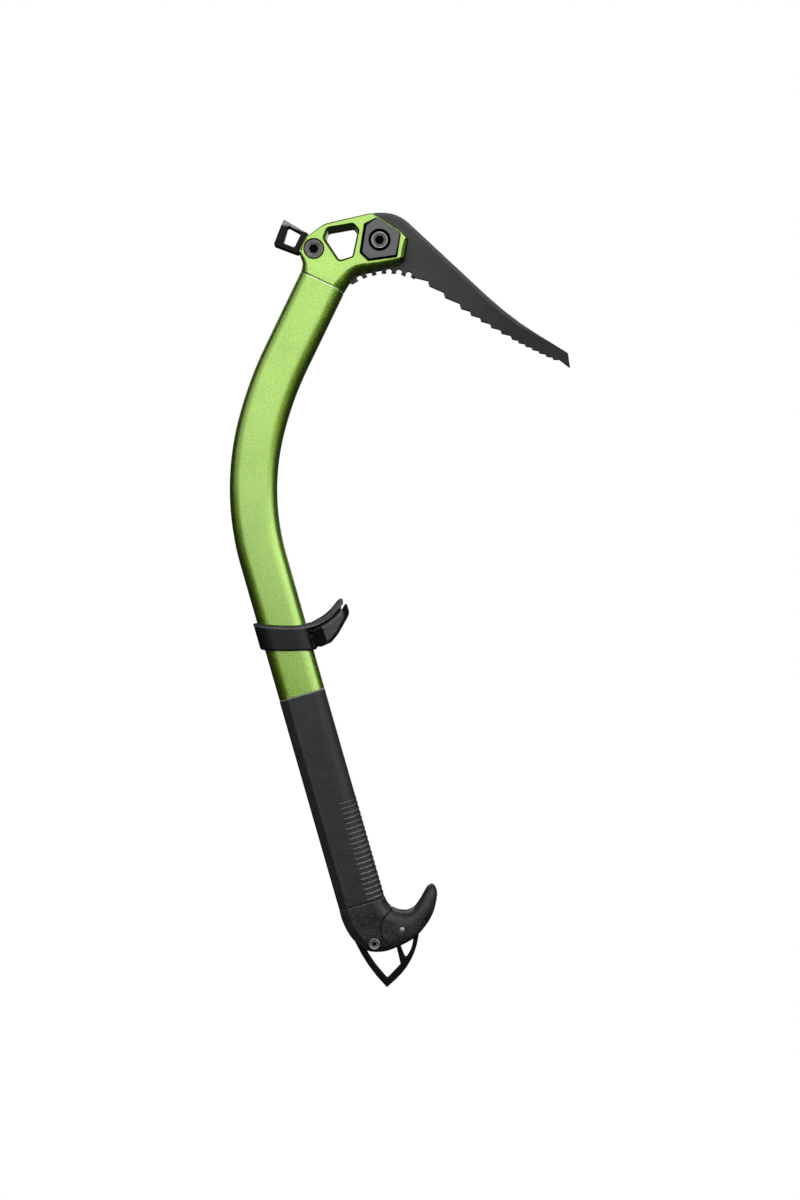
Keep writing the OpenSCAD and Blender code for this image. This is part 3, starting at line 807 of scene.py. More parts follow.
def sink(
    draft: Draft,
    outline: Points,
    reach: Reach,
    depth: float,
    grid: float = 0.0,
    bore: Points | None = None,
    floor_shade: float = 0.0,
    rim_wear_and_shade: float = 1.0,
) -> list[int]:
    """Sinks a flat-bottomed recess in the near face.

    Args:
        draft: the draft that gets the recess.
        outline: the recess, clockwise.
        reach: half the thickness of the face, from x and z.
        depth: how deep the floor lies under the face.
        grid: spacing of points on the floor, or 0 for none.
        bore: outline of a hole from the floor to the middle plane, clockwise.
        floor_shade: below 0, shade painted on the floor and the bore, and by a share on the wall.
        rim_wear_and_shade: wear of the rim above 0, painted shade below 0.

    Returns:
        The recess's rim, as a hole for the face.
    """
    # Painted shade: a floor value below 0 darkens the floor, its wall and the bore
    rings = [draft.ring(outline, depth - reach(outline), floor_shade)]
    for wide, drop in [*edge_steps(RECESS_EDGE, RECESS_EDGE, 2), (RECESS_RIM, 0.0)]:
        row = inset(outline, wide)
        wear_light = rim_wear_and_shade if wide else RECESS_WALL_SHADE * floor_shade
        rings.append(draft.ring(row, drop - reach(row), wear_light))
    draft.skin(rings)
    floor = [rings[0][::-1]]
    if bore is not None:
        mouth = draft.ring(bore, depth - reach(bore), floor_shade)
        draft.bridge(draft.ring(bore, 0.0, floor_shade), mouth)
        floor.append(mouth)
    draft.cap(floor, lambda spots: depth - reach(spots), grid)
    return rings[-1]


def plate(
    outlines: Sequence[Points],
    reach: Reach,
    steps: Steps,
    factors: Sequence[tuple[Points, Points]] | None = None,
    grid: float = 0.0,
    wear_light: float = 1.0,
    panels: Sequence[tuple[Points, float]] = (),
) -> Draft:
    """A flat piece about the middle plane, with worked edges.

    Args:
        outlines: the outer outline and then the holes, material on the left.
        reach: half the thickness, from x and z.
        steps: inset and depth of the edge's steps, from the wall to the flat.
        factors: for each outline, factors for the insets and the depths.
        grid: spacing of points on the flat, or 0 for none.
        wear_light: how much wear its edges show; below 0, how much shade is painted on them.
        panels: clockwise outline and depth of each recess in both faces.

    Returns:
        The draft, both halves.
    """
    draft = Draft()
    rims = []
    held = steps[-1][0] + FLAT_STRIP
    for number, outline in enumerate(outlines):
        wide, deep = factors[number] if factors else (np.ones(len(outline)), np.ones(len(outline)))
        # Painted shade: the walls of holes are painted black
        last = draft.ring(outline, 0.0, -1.0 if number else 0.0)
        for width, depth in [*steps, (held, steps[-1][1])]:
            row = inset(outline, width * wide)
            share = 1.0 if width < steps[-1][0] else 0.5 if width < held else 0.0
            ring = draft.ring(row, depth * deep - reach(row), share * wear_light)
            draft.bridge(last, ring)
            last = ring
        rims.append(last)
    for panel, depth in panels:
        rims.append(sink(draft, panel, reach, depth, grid))
    draft.cap(rims, lambda spots: -reach(spots), grid)
    draft.mirror()
    return draft


def turned(profile: Sequence[Sequence[float]], socket: float = 0.0, sides: int = 48) -> Draft:
    """A turned part about the Y axis.

    Args:
        profile: radius, y, and wear and painted shade of the outer line, from the back to the front face.
        socket: width across the flats of a hex socket in the front, or 0 for none.
        sides: points round the part.

    Returns:
        The closed draft.
    """
    draft = Draft()
    rows = [draft.ring(circle((0, 0), radius, sides), y, wear_light) for radius, y, wear_light in profile]
    draft.skin(rows)
    draft.faces.append(tuple(rows[0]))
    front = profile[-1][1]
    if not socket:
        draft.faces.append(tuple(rows[-1]))
        return draft
    corner = socket / math.sqrt(3)
    mouth = spaced(circle((0, 0), corner, 6), corner / 4)[::-1]
    # Painted shade: the socket's mouth, walls and floor go dark
    steps = (
        (SOCKET_MOUTH, 0.0, -SOCKET_MOUTH_SHADE),
        (1.0, SOCKET_CHAMFER, -1.0),
        (1.0, SOCKET_WALL * socket, -1.0),
    )
    walls = [draft.ring(mouth * scale, front + drop, wear_light) for scale, drop, wear_light in steps]
    draft.cap([rows[-1], walls[0]], lambda spots: front, 0.8)
    draft.skin(walls)
    deep = draft.add(np.array([[0, front + SOCKET_TIP * socket, 0]]), -1.0)[0]
    floor = walls[-1]
    draft.faces += [(floor[k], floor[(k + 1) % len(floor)], deep) for k in range(len(floor))]
    return draft


def face_outlines(node: str) -> list[Points]:
    """Outlines of a CAD node's flat near face.

    Args:
        node: the node's name.

    Returns:
        The outer outline and then the holes, in mm, material on the left.
    """
    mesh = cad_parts[node].data
    spots = np.array([v.co for v in mesh.vertices]) / MM
    near = spots[:, 1].min()
    names: dict[tuple[float, float], int] = {}
    places: list[Points] = []
    number = {}
    for k, spot in enumerate(spots):
        if spot[1] < near + FACE_MM:
            key = (round(float(spot[0]), 2), round(float(spot[2]), 2))
            if key not in names:
                names[key] = len(places)
                places.append(spot[[0, 2]])
            number[k] = names[key]
    sides = set()
    for face in mesh.polygons:
        corners = [number.get(k) for k in face.vertices]
        if None not in corners:
            sides.update(zip(corners, corners[1:] + corners[:1]))
    onward = {a: b for a, b in sides if (b, a) not in sides and a != b}
    outlines = []
    while onward:
        start, point = onward.popitem()
        trail = [start]
        while point != start:
            trail.append(point)
            point = onward.pop(point)
        outlines.append(np.array([places[k] for k in trail]))
    return sorted(outlines, key=lambda o: -np.ptp(o[:, 0]) * np.ptp(o[:, 1]))


# Geometry Nodes


BARE_RUN = 1.9
BARE_WEAR = 1.6


def tree_with(name: str, sockets: Sequence[tuple[str, str]]) -> tuple[Graph, Wire]:
    """Starts a Geometry Nodes tree.

    Args:
        name: the tree's name.
        sockets: name and type of each input after the geometry.

    Returns:
        The graph and its geometry input; other inputs come by name from that node.
    """
    tree = bpy.data.node_groups.new(name, "GeometryNodeTree")
    tree.interface.new_socket("Geometry", in_out="OUTPUT", socket_type="NodeSocketGeometry")
    tree.interface.new_socket("Geometry", in_out="INPUT", socket_type="NodeSocketGeometry")
    for label, kind in sockets:
        tree.interface.new_socket(label, in_out="INPUT", socket_type=f"NodeSocket{kind}")
    graph = Graph(tree)
    return graph, graph.add("NodeGroupInput")


def from_input(start: Wire, name: str) -> Wire:
    """Another named input of the tree that start belongs to."""
    return Wire(start.graph, start.socket.node.outputs[name])


def end_tree(graph: Graph, geometry: Wire, material: Wire) -> bpy.types.NodeTree:
    """Closes a tree with Realize Instances and Set Material.

    Args:
        graph: the tree's graph.
        geometry: what the tree has made.
        material: the tree's material input.

    Returns:
        The finished tree.
    """
    real = graph.add("GeometryNodeRealizeInstances", {"Geometry": geometry})
    dressed = graph.add("GeometryNodeSetMaterial", {"Geometry": real, "Material": material})
    graph.add("NodeGroupOutput", {"Geometry": dressed})
    return graph.tree


def row_tree() -> bpy.types.NodeTree:
    """Copies of the object's own mesh along a straight line.

    Returns:
        The tree, with the inputs Count, Start, Step and Material.
    """
    sockets = [("Count", "Int"), ("Start", "Vector"), ("Step", "Vector"), ("Material", "Material")]
    graph, start = tree_with("row_of_copies", sockets)
    line = {
        "Count": from_input(start, "Count"),
        "Start Location": from_input(start, "Start"),
        "Offset": from_input(start, "Step"),
    }
    spots = graph.add("GeometryNodeMeshLine", line, mode="OFFSET")
    copies = graph.add("GeometryNodeInstanceOnPoints", {"Points": spots, "Instance": start})
    return end_tree(graph, copies, from_input(start, "Material"))


def tube_tree() -> bpy.types.NodeTree:
    """A tube of oblong section with round corners along the object's own line, bare at its start.

    Returns:
        The tree, with the tube's sizes and Material as its inputs.
    """
    sockets = [
        ("Width", "Float"), ("Thickness", "Float"), ("Corner", "Float"), ("Top", "Float"),
        ("Foot", "Float"), ("Chamfer", "Float"), ("Sides", "Int"), ("Material", "Material"),
    ]
    graph, start = tree_with("oblong_tube", sockets)
    line = graph.add("GeometryNodeMeshToCurve", {"Mesh": start})
    oblong = {"Width": from_input(start, "Thickness"), "Height": from_input(start, "Width")}
    profile = graph.add("GeometryNodeCurvePrimitiveQuadrilateral", oblong)
    corners = {
        "Curve": profile, "Radius": from_input(start, "Corner"), "Count": from_input(start, "Sides"),
    }
    section = graph.add("GeometryNodeFilletCurve", corners, mode="POLY")
    along = graph.add("GeometryNodeSplineParameter", out="Factor")
    top = from_input(start, "Top")
    run = Wire(graph, along.socket.node.outputs["Length"])
    chamfer = from_input(start, "Chamfer")
    start_run = graph.add("ShaderNodeMath", {0: run, 1: chamfer * BARE_RUN}, operation="LESS_THAN")
    wear_light = {"Geometry": line, "Name": "wear_and_light", "Value": start_run * BARE_WEAR}
    line = graph.add("GeometryNodeStoreNamedAttribute", wear_light, data_type="FLOAT", domain="POINT")
    inner = graph.add("ShaderNodeMath", {0: run * chamfer ** -1.0, 1: 1.0}, operation="MINIMUM")
    drawn_in = JOINT_SCALE + inner * (1 - JOINT_SCALE)
    scale = (top + (from_input(start, "Foot") - top) * along) * drawn_in
    sweep = {"Curve": line, "Profile Curve": section, "Scale": scale, "Fill Caps": True}
    tube = graph.add("GeometryNodeCurveToMesh", sweep)
    return end_tree(graph, tube, from_input(start, "Material"))


def grow(piece: bpy.types.Object, tree: bpy.types.NodeTree, values: dict[str, Any]) -> None:
    """Runs a tree on a piece and keeps the result as its plain mesh.

    Args:
        piece: the object whose mesh the tree starts from.
        tree: the Geometry Nodes tree.
        values: the tree's inputs by name.
    """
    modifier = piece.modifiers.new("grow", "NODES")
    modifier.node_group = tree
    for item in tree.interface.items_tree:
        if item.in_out == "INPUT" and item.name in values:
            modifier[item.identifier] = values[item.name]
    settle_mesh(piece)


# The tool's pieces


def hand_over(piece: bpy.types.Object, body: str, nodes: Sequence[str], finish: Finish) -> None:
    """Gives a finished piece to the frame and reports it.

    Args:
        piece: the object.
        body: the CAD body that it rides on.
        nodes: the CAD nodes that it stands for.
        finish: its surface, which isn't used.
    """
    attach(piece, body)
    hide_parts(*nodes)
    log.info("%s: %d faces, for %s", piece.name, len(piece.data.polygons), ", ".join(nodes))


@dataclass
class Shaft:
    """The bent tube between head and grip, and the line that it follows."""

    neck: tuple[float, float] = (-12.65, -25.4)
    upper_tilt: float = 25.7
    split_tilt: float = 14.0
    lower_tilt: float = -16.0
    upper_len: float = 53.5
    upper_bend_r: float = 236.0
    lower_bend_r: float = 167.0
    bare_len: float = 90.5
    grip_len: float = 140.5
    width: float = 30.8
    thickness: float = 21.0
    corner: float = 8.5
    head_scale: float = 1.006
    grip_scale: float = 0.975
    end_chamfer: float = 0.5
    # Distances from the upper end: two points near its chamfer, and the first of the evenly set ones
    end_runs: tuple[float, float, float] = (0.8, 1.1, 2.0)
    trigger_up: float = 179.0
    smooth: float = 40.0

    @property
    def neck_place(self) -> Place:
        """Frame of the joint with the head."""
        return Place(*self.neck, self.upper_tilt)

    @property
    def bend_mids(self) -> tuple[Points, Points]:
        """Finds the centres of the two bends.

        Returns:
            World x and z of the upper and of the lower centre.
        """
        upper = self.neck_place.moved(-self.upper_len).spot(self.upper_bend_r, 0)
        split = Place(0, 0, self.split_tilt).across
        return upper, upper + (self.lower_bend_r - self.upper_bend_r) * split

    @property
    def bend_foot(self) -> Place:
        """Frame of the lower end of the bends."""
        x, z = self.bend_mids[1] - self.lower_bend_r * Place(0, 0, self.lower_tilt).across
        return Place(float(x), float(z), self.lower_tilt)

    @property
    def foot_place(self) -> Place:
        """Frame of the grip's lower end."""
        return self.bend_foot.moved(-self.bare_len - self.grip_len)

    @property
    def trigger_place(self) -> Place:
        """Frame of the finger rest."""
        return self.foot_place.moved(self.trigger_up)

    def line(self) -> Points:
        """Follows the tube's middle from head to grip.

        Returns:
            World x and z of its points.
        """
        near, next_run, straight = self.end_runs
        runs = [0, self.end_chamfer, near, next_run, *np.linspace(straight, self.upper_len, 12)[:-1]]
        points = [self.neck_place.spot(0, -run) for run in runs]
        upper_tilts = np.linspace(self.upper_tilt, self.split_tilt, 30)
        lower_tilts = np.linspace(self.split_tilt, self.lower_tilt, 50)[1:]
        bends = ((self.upper_bend_r, upper_tilts), (self.lower_bend_r, lower_tilts))
        for mid, (radius, tilts) in zip(self.bend_mids, bends):
            points += [mid - radius * Place(0, 0, tilt).across for tilt in tilts]
        runs = np.linspace(0, self.bare_len, 16)[1:]
        points += [self.bend_foot.spot(0, -run) for run in runs]
        return np.array(points)

    def build(self, tree: bpy.types.NodeTree) -> None:
        """Sweeps the tube and hands it over.

        Args:
            tree: the tree that makes a tube along a line.
        """
        line = self.line()
        spots = np.column_stack([line[:, 0], np.zeros(len(line)), line[:, 1]])
        mesh = bpy.data.meshes.new("shaft_tube")
        edges = [(k, k + 1) for k in range(len(line) - 1)]
        mesh.from_pydata((spots * MM).tolist(), edges, [])
        tube = bpy.data.objects.new("shaft_tube", mesh)
        bpy.context.scene.collection.objects.link(tube)
        values = {
            "Width": self.width * MM, "Thickness": self.thickness * MM,
            "Corner": self.corner * MM, "Top": self.head_scale, "Foot": self.grip_scale,
            "Chamfer": self.end_chamfer * MM, "Sides": 16, "Material": ANODISED.material(),
        }
        grow(tube, tree, values)
        shade(tube.data, self.smooth)
        hand_over(tube, "tool", ["shaft"], ANODISED)


@dataclass
class Head:
    """The forged head with its eye, recesses, weights and bolts."""

    neck: Place
    half_w: float = 15.5
    neck_half_t: float = 10.6
    half_t: float = 9.5
    neck_from: float = 3.0
    neck_to: float = 17.0
    eye: Sequence[Sequence[float]] = (
        (-8.5, 8.2, 2, 1.1), (-10.2, 2.1, 2, 2.0), (-1, -11.9, 2, 1.7),
        (7.3, -9.5, 2, 1.2), (10.9, 7.2, 2, 1.1), (7.8, 11.2, 2, 0.8),
    )
    pocket: Sequence[Sequence[float]] = (
        (22.4, 15.0, 1), (14.7, 11.1, 1.5), (11.8, -7.6, 2),
        (17.4, -12.95, 2), (36.2, -10.4, 1.5), (38.5, 4.9, 1),
    )
    weight: Sequence[Sequence[float]] = (
        (23, 15.6, 0.8), (15.9, 10.5, 1.5), (13, -7.2, 2),
        (17.8, -11.9, 2), (35.6, -9.4, 1.5), (38.6, 5.8, 0.8),
    )
    pocket_h: float = 3.5
    weight_half_t: float = 1.7
    pick_bolt: tuple[float, float] = (24.8, 0.8)
    hammer_bolt: tuple[float, float] = (-17.6, -4.9)
    bolt_r: float = 6.1
    bolt_h: float = 2.2
    recess_r: float = 6.7
    weight_bore_r: float = 7.0
    bore_r: float = 4.1
    joint_gap: float = 0.45
    hex_af: float = 5.0
    flank_turn: float = 76.0
    flank_rim: float = 0.12
    nose_from: float = 36.0
    nose_fade: float = 4.0
    nose_shade: float = 0.85
    # Inset and depth of each step of the eye's rim, as shares of the chamfer's width
    eye_steps: Sequence[tuple[float, float]] = (
        (0.0, 1.15), (0.12, 1.0), (0.94, 0.06), (1.0, 0.0), (1.1, 0.0),
    )
    eye_shade: float = 0.6
    recess_shade: float = 0.1
    joint_dull: float = 0.6
    weight_edge: tuple[float, float] = (0.7, 0.4)
    weight_proud: float = 0.08
    bore_narrow: float = 0.35
    bolt_root: float = 1.0
    # Inset, drop and wear of each step of a bolt's rim and face
    bolt_steps: Sequence[tuple[float, float, float]] = (
        (0, 0.7, 0), (0.1, 0.4, 0.9), (0.45, 0, 0.9), (0.8, 0, 0.1), (0.95, 0, 0.1),
        (1.3, 0, 0.1), (1.45, 0, 0.1), (1.9, 0, 0.1), (2.1, 0.1, 0.6), (2.4, 0.2, 0),
    )
    # From a bolt's rim outwards: the bright line's start, the start of the black ring of painted shadow,
    # and its end
    ring_steps: tuple[float, float, float] = (-1.35, -0.9, 0.1)
    ring_bright: float = 1.3

    def outline(self) -> list[tuple[float, float, float, float, float]]:
        """Lists the corners from the joint's front to its rear.

        Returns:
            x, z, radius, flank width and flank depth of each.
        """
        front = self.neck.spot(self.half_w, self.joint_gap)
        rear = self.neck.spot(-self.half_w, self.joint_gap)
        return [
            (front[0], front[1], 0, 8.0, 10.2),
            (8.2, -20.4, 17, 5.8, 7.5),
            (24.0, -16.8, 0, 3.6, 4.8),
            (41.1, -12.9, 4.5, 2.9, 4.2),
            (42.25, -5.35, 0, 3.2, 4.0),
            (43.4, 2.2, 2.5, 1.9, 2.6),
            (38.9, 5.9, 3, 0.4, 0.5),
            (19.5, 18.4, 3, 0.9, 1.2),
            (-11, 11.5, 14, 1.3, 1.6),
            (-22.4, 2.9, 3, 0.6, 0.8),
            (-27.3, -6.6, 2.5, 0.6, 0.9),
            (-24.8, -13.2, 6, 2.8, 4.5),
            (rear[0], rear[1], 0, 5.2, 10.2),
        ]

    def reach(self, points: Points) -> Points:
        """Half the thickness at points of the middle plane."""
        rise = (self.neck.height(points) - self.neck_from) / (self.neck_to - self.neck_from)
        return self.neck_half_t + (self.half_t - self.neck_half_t) * ease(rise)

    def flank(self, outline: Points) -> tuple[Points, Points]:
        """Sizes the rounded flank along the outline.

        Args:
            outline: x and z of its points.

        Returns:
            Width and depth of the flank at each point.
        """
        corners = np.array(self.outline())
        nearest = [closest(outline, corner[:2]) for corner in corners]
        nearest[0] = 0
        nearest[-1] = len(outline) - 1
        run = np.arange(len(outline))
        return np.interp(run, nearest, corners[:, 3]), np.interp(run, nearest, corners[:, 4])

    def eye_wall(self) -> tuple[Points, Points]:
        """Draws the eye.

        Returns:
            Its outline, clockwise, and the width of the chamfer at each point.
        """
        corners = np.array(self.eye)
        eye = spaced(rounded(self.eye, 10), 0.8)
        nearest = [closest(eye, corner[:2]) for corner in corners]
        width = np.interp(np.arange(len(eye)), nearest, corners[:, 3], period=len(eye))
        return eye[::-1], width[::-1]

    def flank_rows(self, draft: Draft) -> list[list[int]]:
        """Adds the outer wall and its rounded flank, open at the joint.

        Args:
            draft: the head's draft.

        Returns:
            Numbers of each row's points, from the middle plane to the face.
        """
        corners = self.outline()
        outline = spaced(rounded([corner[:3] for corner in corners], 5), 1.0)
        outline = outline[: closest(outline, corners[-1][:2]) + 1]
        width, depth = self.flank(outline)
        moved = inset(outline, 1.0) - outline
        moved[0] = unit(outline[-1] - outline[0])
        moved[-1] = -moved[0]
        rows = [draft.ring(outline, 0.0)]
        crease = math.radians(self.flank_turn)
        # Painted shade on the flank past nose_from, where it faces away from the light
        nose_shade_tone = -self.nose_shade * ease((outline[:, 0] - self.nose_from) / self.nose_fade)
        for turn in np.linspace(0, crease, 10):
            across = (1 - math.cos(turn)) / (1 - math.cos(crease))
            drop = 1 - math.sin(turn) / math.sin(crease)
            row = outline + moved * (width * across)[:, None]
            rows.append(draft.ring(row, depth * drop - self.reach(row), nose_shade_tone))
        row = outline + moved * (width + self.flank_rim)[:, None]
        rows.append(draft.ring(row, -self.reach(row)))
        draft.skin(rows, closed=False)
        return rows

    def eye_rim(self, draft: Draft) -> list[int]:
        """Adds the eye's wall and its chamfer, with shade painted on the chamfer.

        Args:
            draft: the head's draft.

        Returns:
            Numbers of the points where the chamfer meets the face.
        """
        eye, width = self.eye_wall()
        last = draft.ring(eye, 0.0)
        for share, deep in self.eye_steps:
            row = inset(eye, width * share)
            # Painted shade on the eye's chamfer
            wear_light = -self.eye_shade if share < 1 else 0.0
            ring = draft.ring(row, width * deep - self.reach(row), wear_light)
            draft.bridge(last, ring)
            last = ring
        return last

    def close_joint(self, draft: Draft, rows: Sequence[list[int]]) -> None:
        """Adds the drawn-in end at the joint with the shaft.

        Args:
            draft: the head's draft.
            rows: numbers of the points of the outer wall's rows.
        """
        joint = [row[0] for row in rows] + [row[-1] for row in reversed(rows)]
        low = np.array([self.neck.x, 0, self.neck.z])
        high = low + self.joint_gap * np.array([self.neck.up[0], 0, self.neck.up[1]])
        drawn_in = [low + (draft.points[k] - high) * JOINT_SCALE for k in joint]
        chamfer = draft.add(np.array(drawn_in), -self.joint_dull)
        draft.bridge(joint, chamfer, closed=False)
        draft.faces.append(tuple(chamfer))

    def forging(self) -> Draft:
        """Makes the head itself, with the eye through it and the recesses in both faces.

        Returns:
            The closed draft.
        """
        draft = Draft()
        rows = self.flank_rows(draft)
        rims = [rows[-1], self.eye_rim(draft)]
        pocket = spaced(rounded(self.pocket, 10), 1.2)[::-1]
        recess = circle(self.hammer_bolt, self.recess_r)[::-1]
        sunk = ((pocket, self.pocket_h, self.pick_bolt), (recess, self.bolt_h, self.hammer_bolt))
        for rim, depth, mid in sunk:
            bore = circle(mid, self.bore_r)[::-1]
            # Painted shade: floors and bores of both recesses black, their rims a little darker
            rims.append(sink(draft, rim, self.reach, depth, 0.0, bore, -1.0, -self.recess_shade))
        draft.cap(rims, lambda spots: -self.reach(spots), 1.6)
        self.close_joint(draft, rows)
        draft.mirror()
        return draft

    def shadow_ring(self, spots: Points, wear_light: Points) -> Points:
        """Paints a black ring of shadow round the pick's bolt and nut, with a bright line inside it.

        Args:
            spots: points of bolts or nuts.
            wear_light: their wear so far.

        Returns:
            Their values with the shadow ring and the bright line.
        """
        out = np.linalg.norm(spots[:, [0, 2]] - np.array(self.pick_bolt), axis=1)
        line_from, ring_from, ring_to = (self.bolt_r + step for step in self.ring_steps)
        black = (out > ring_from) & (out < ring_to)
        line = (out > line_from) & (out < ring_from)
        return np.where(black, -1.0, np.where(line, self.ring_bright, wear_light))

    def weights(self) -> None:
        """Makes the two weights, with shade painted black on their edges, where they sit in their pockets.
        """
        outline = spaced(rounded(self.weight, 10), 2.0)
        bore = circle(self.pick_bolt, self.weight_bore_r)[::-1]
        shares = ((outline, 1.0), (bore, self.bore_narrow))
        narrow = [(np.full(len(line), share), np.ones(len(line))) for line, share in shares]
        steps = edge_steps(*self.weight_edge, 3)
        for name, side in (("near", -1), ("far", 1)):
            # Painted shade: the edges are painted black
            slab = plate([outline, bore], lambda spots: self.weight_half_t, steps, narrow, wear_light=-1.0)
            slab.shift(side * (self.half_t + self.weight_proud - self.weight_half_t))
            piece = slab.piece(f"weight_plate_{name}", WEIGHT_STEEL)
            hand_over(piece, "tool", [f"weight_{name}"], WEIGHT_STEEL)

    def bolts(self, tree: bpy.types.NodeTree) -> None:
        """Makes the two bolts, and their nuts on the far side.

        Args:
            tree: the tree that makes a row of copies.
        """
        first, last = (np.array([x, 0, z]) for x, z in (self.pick_bolt, self.hammer_bolt))
        profile = [(self.bolt_r, -self.bolt_root, 0)]
        for inward, drop, wear_light in self.bolt_steps:
            profile.append((self.bolt_r - inward, self.bolt_h - drop, wear_light))
        bolt = turned([(out, -y, wear_light) for out, y, wear_light in profile], self.hex_af)
        nut = turned(profile)
        level = self.half_t - self.bolt_h
        for kind, draft, y in (("bolt", bolt, -level), ("nut", nut, level)):
            piece = draft.piece(f"head_{kind}s", BOLT_STEEL)
            values = {
                "Count": 2, "Start": (first + np.array([0, y, 0])) * MM,
                "Step": (last - first) * MM, "Material": BOLT_STEEL.material(),
            }
            grow(piece, tree, values)
            # Painted shadow: a black ring round the pick's bolt and nut
            paint(piece, self.shadow_ring)
            hand_over(piece, "tool", [f"pick_{kind}", f"hammer_{kind}"], BOLT_STEEL)

    def build(self, tree: bpy.types.NodeTree) -> None:
        """Makes the head, the weights, and the bolts and nuts.

        Args:
            tree: the tree that makes a row of copies.
        """
        hand_over(self.forging().piece("head_forging", ANODISED, 22), "tool", ["head"], ANODISED)
        self.weights()
        self.bolts(tree)


@dataclass
class Blades:
    """The flat steel pieces cut from plate: pick, hammer and spike."""

    pick_half_t: float = 2.0
    hammer_half_w: float = 4.0
    hammer_slope: float = 1.0
    hammer_outline: Sequence[Sequence[float]] = (
        (-37.4, 15.6, 1), (-43.9, -1.1, 1), (-28.8, -6.8, 0.5),
        (-27.4, -6.6, 0), (-22.5, 2.9, 0), (-21.2, 6, 1),
    )
    hammer_window: Sequence[Sequence[float]] = (
        (-34.6, 11, 1.2), (-37.8, 0.1, 1.2), (-30.5, -2.9, 1.2), (-26, 6.2, 1.2),
    )
    hammer_top: tuple[tuple[float, float], tuple[float, float]] = ((-34.6, 10.6), (0.3, 0.95))
    # Inset, drop and wear of each step of the outer edge
    hammer_edge: Sequence[tuple[float, float, float]] = ((0.0, 0.3, 0.6), (0.3, 0.0, 1.8))
    # Inset, drop, slope and wear of each step of the window's edge
    window_edge: Sequence[tuple[float, float, float, float]] = (
        (0.0, 0.5, 0.0, 0.0), (0.15, 0.15, 0.0, 0.0), (0.5, 0.0, 0.0, 0.0), (0.75, 0.0, 0.1, 1.6),
    )
    bar_fade: float = 0.4
    bar_to: float = -22.6
    spike_half_t: float = 2.1
    spike_edge: float = 0.5
    spacing: float = 1.5
    edge: float = 0.25
    spine_x: tuple[float, float] = (16.0, 138.0)
    spine_fade: tuple[float, float] = (6.0, 25.0)
    spine_lean: float = 0.3
    spine_width: float = 2.0
    spine_depth: float = 1.1
    darkening_span: tuple[float, float] = (45.0, 110.0)
    darkening_most: float = 0.5

    def pick(self) -> Draft:
        """Makes the toothed pick with its bevelled spine.

        Returns:
            The closed draft.
        """
        outlines = [spaced(outline, self.spacing) for outline in face_outlines("pick")]
        factors = []
        for number, outline in enumerate(outlines):
            x = outline[:, 0]
            sides = np.roll(outline, -1, axis=0) - np.roll(outline, 1, axis=0)
            up = -sides[:, 0] / np.linalg.norm(sides, axis=1)
            top = ease((up - self.spine_lean) / self.spine_lean)
            top *= ease((x - self.spine_x[0]) / self.spine_fade[0])
            top *= ease((self.spine_x[1] - x) / self.spine_fade[1])
            top *= number == 0
            wide = 1 + top * (self.spine_width / self.edge - 1)
            deep = 1 + top * (self.spine_depth / self.edge - 1)
            factors.append((wide, deep))
        steps = edge_steps(self.edge, self.edge, 2)
        return plate(outlines, lambda spots: self.pick_half_t, steps, factors)

    def hammer(self) -> Draft:
        """Makes the hammer loop, whose top bar slopes back and shows bare metal.

        Returns:
            The closed draft.
        """
        outline = spaced(rounded(self.hammer_outline, 15), 0.5)
        window = spaced(rounded(self.hammer_window, 15), 0.5)[::-1]
        spot, normal = np.array(self.hammer_top)
        draft = Draft()

        def ring(points: Points, drop: float, slope: float, wear_light: float) -> list[int]:
            """One row of points, with the slope and the wear on the top bar alone."""
            top = ease((points - spot) @ normal / self.bar_fade + 0.5) * (points[:, 0] < self.bar_to)
            return draft.ring(points, drop - self.hammer_half_w + top * slope, top * wear_light)

        wall = [draft.ring(outline, 0.0)]
        for wide, drop, wear_light in self.hammer_edge:
            wall.append(ring(inset(outline, wide), drop, self.hammer_slope, wear_light))
        hole = [draft.ring(window, 0.0)]
        for wide, drop, slope, wear_light in self.window_edge:
            hole.append(ring(inset(window, wide), drop, slope, wear_light))
        draft.skin(wall)
        draft.skin(hole)
        draft.cap([wall[-1], hole[-1]], lambda spots: -self.hammer_half_w)
        draft.mirror()
        return draft

    def spike(self) -> Draft:
        """Makes the spike plate.

        Returns:
            The closed draft.
        """
        outlines = [spaced(outline, self.spacing) for outline in face_outlines("spike")]
        steps = edge_steps(self.spike_edge, self.spike_edge, 3)
        return plate(outlines, lambda spots: self.spike_half_t, steps, wear_light=0.0)

    def build(self) -> None:
        """Makes the three pieces."""
        rows = (
            ("pick", self.pick(), PICK_STEEL),
            ("hammer", self.hammer(), BLACK_STEEL),
            ("spike", self.spike(), BLACK_STEEL),
        )
        for name, draft, finish in rows:
            piece = draft.piece(f"{name}_plate", finish)
            if name == "pick":
                paint(piece, self.tip_darkening)
            hand_over(piece, "tool", [name], finish)

    def tip_darkening(self, spots: Points, wear_light: Points) -> Points:
        """Values of the pick, darker towards its tip."""
        first, last = self.darkening_span
        return wear_light - self.darkening_most * np.clip((spots[:, 0] - first) / (last - first), 0, 1)


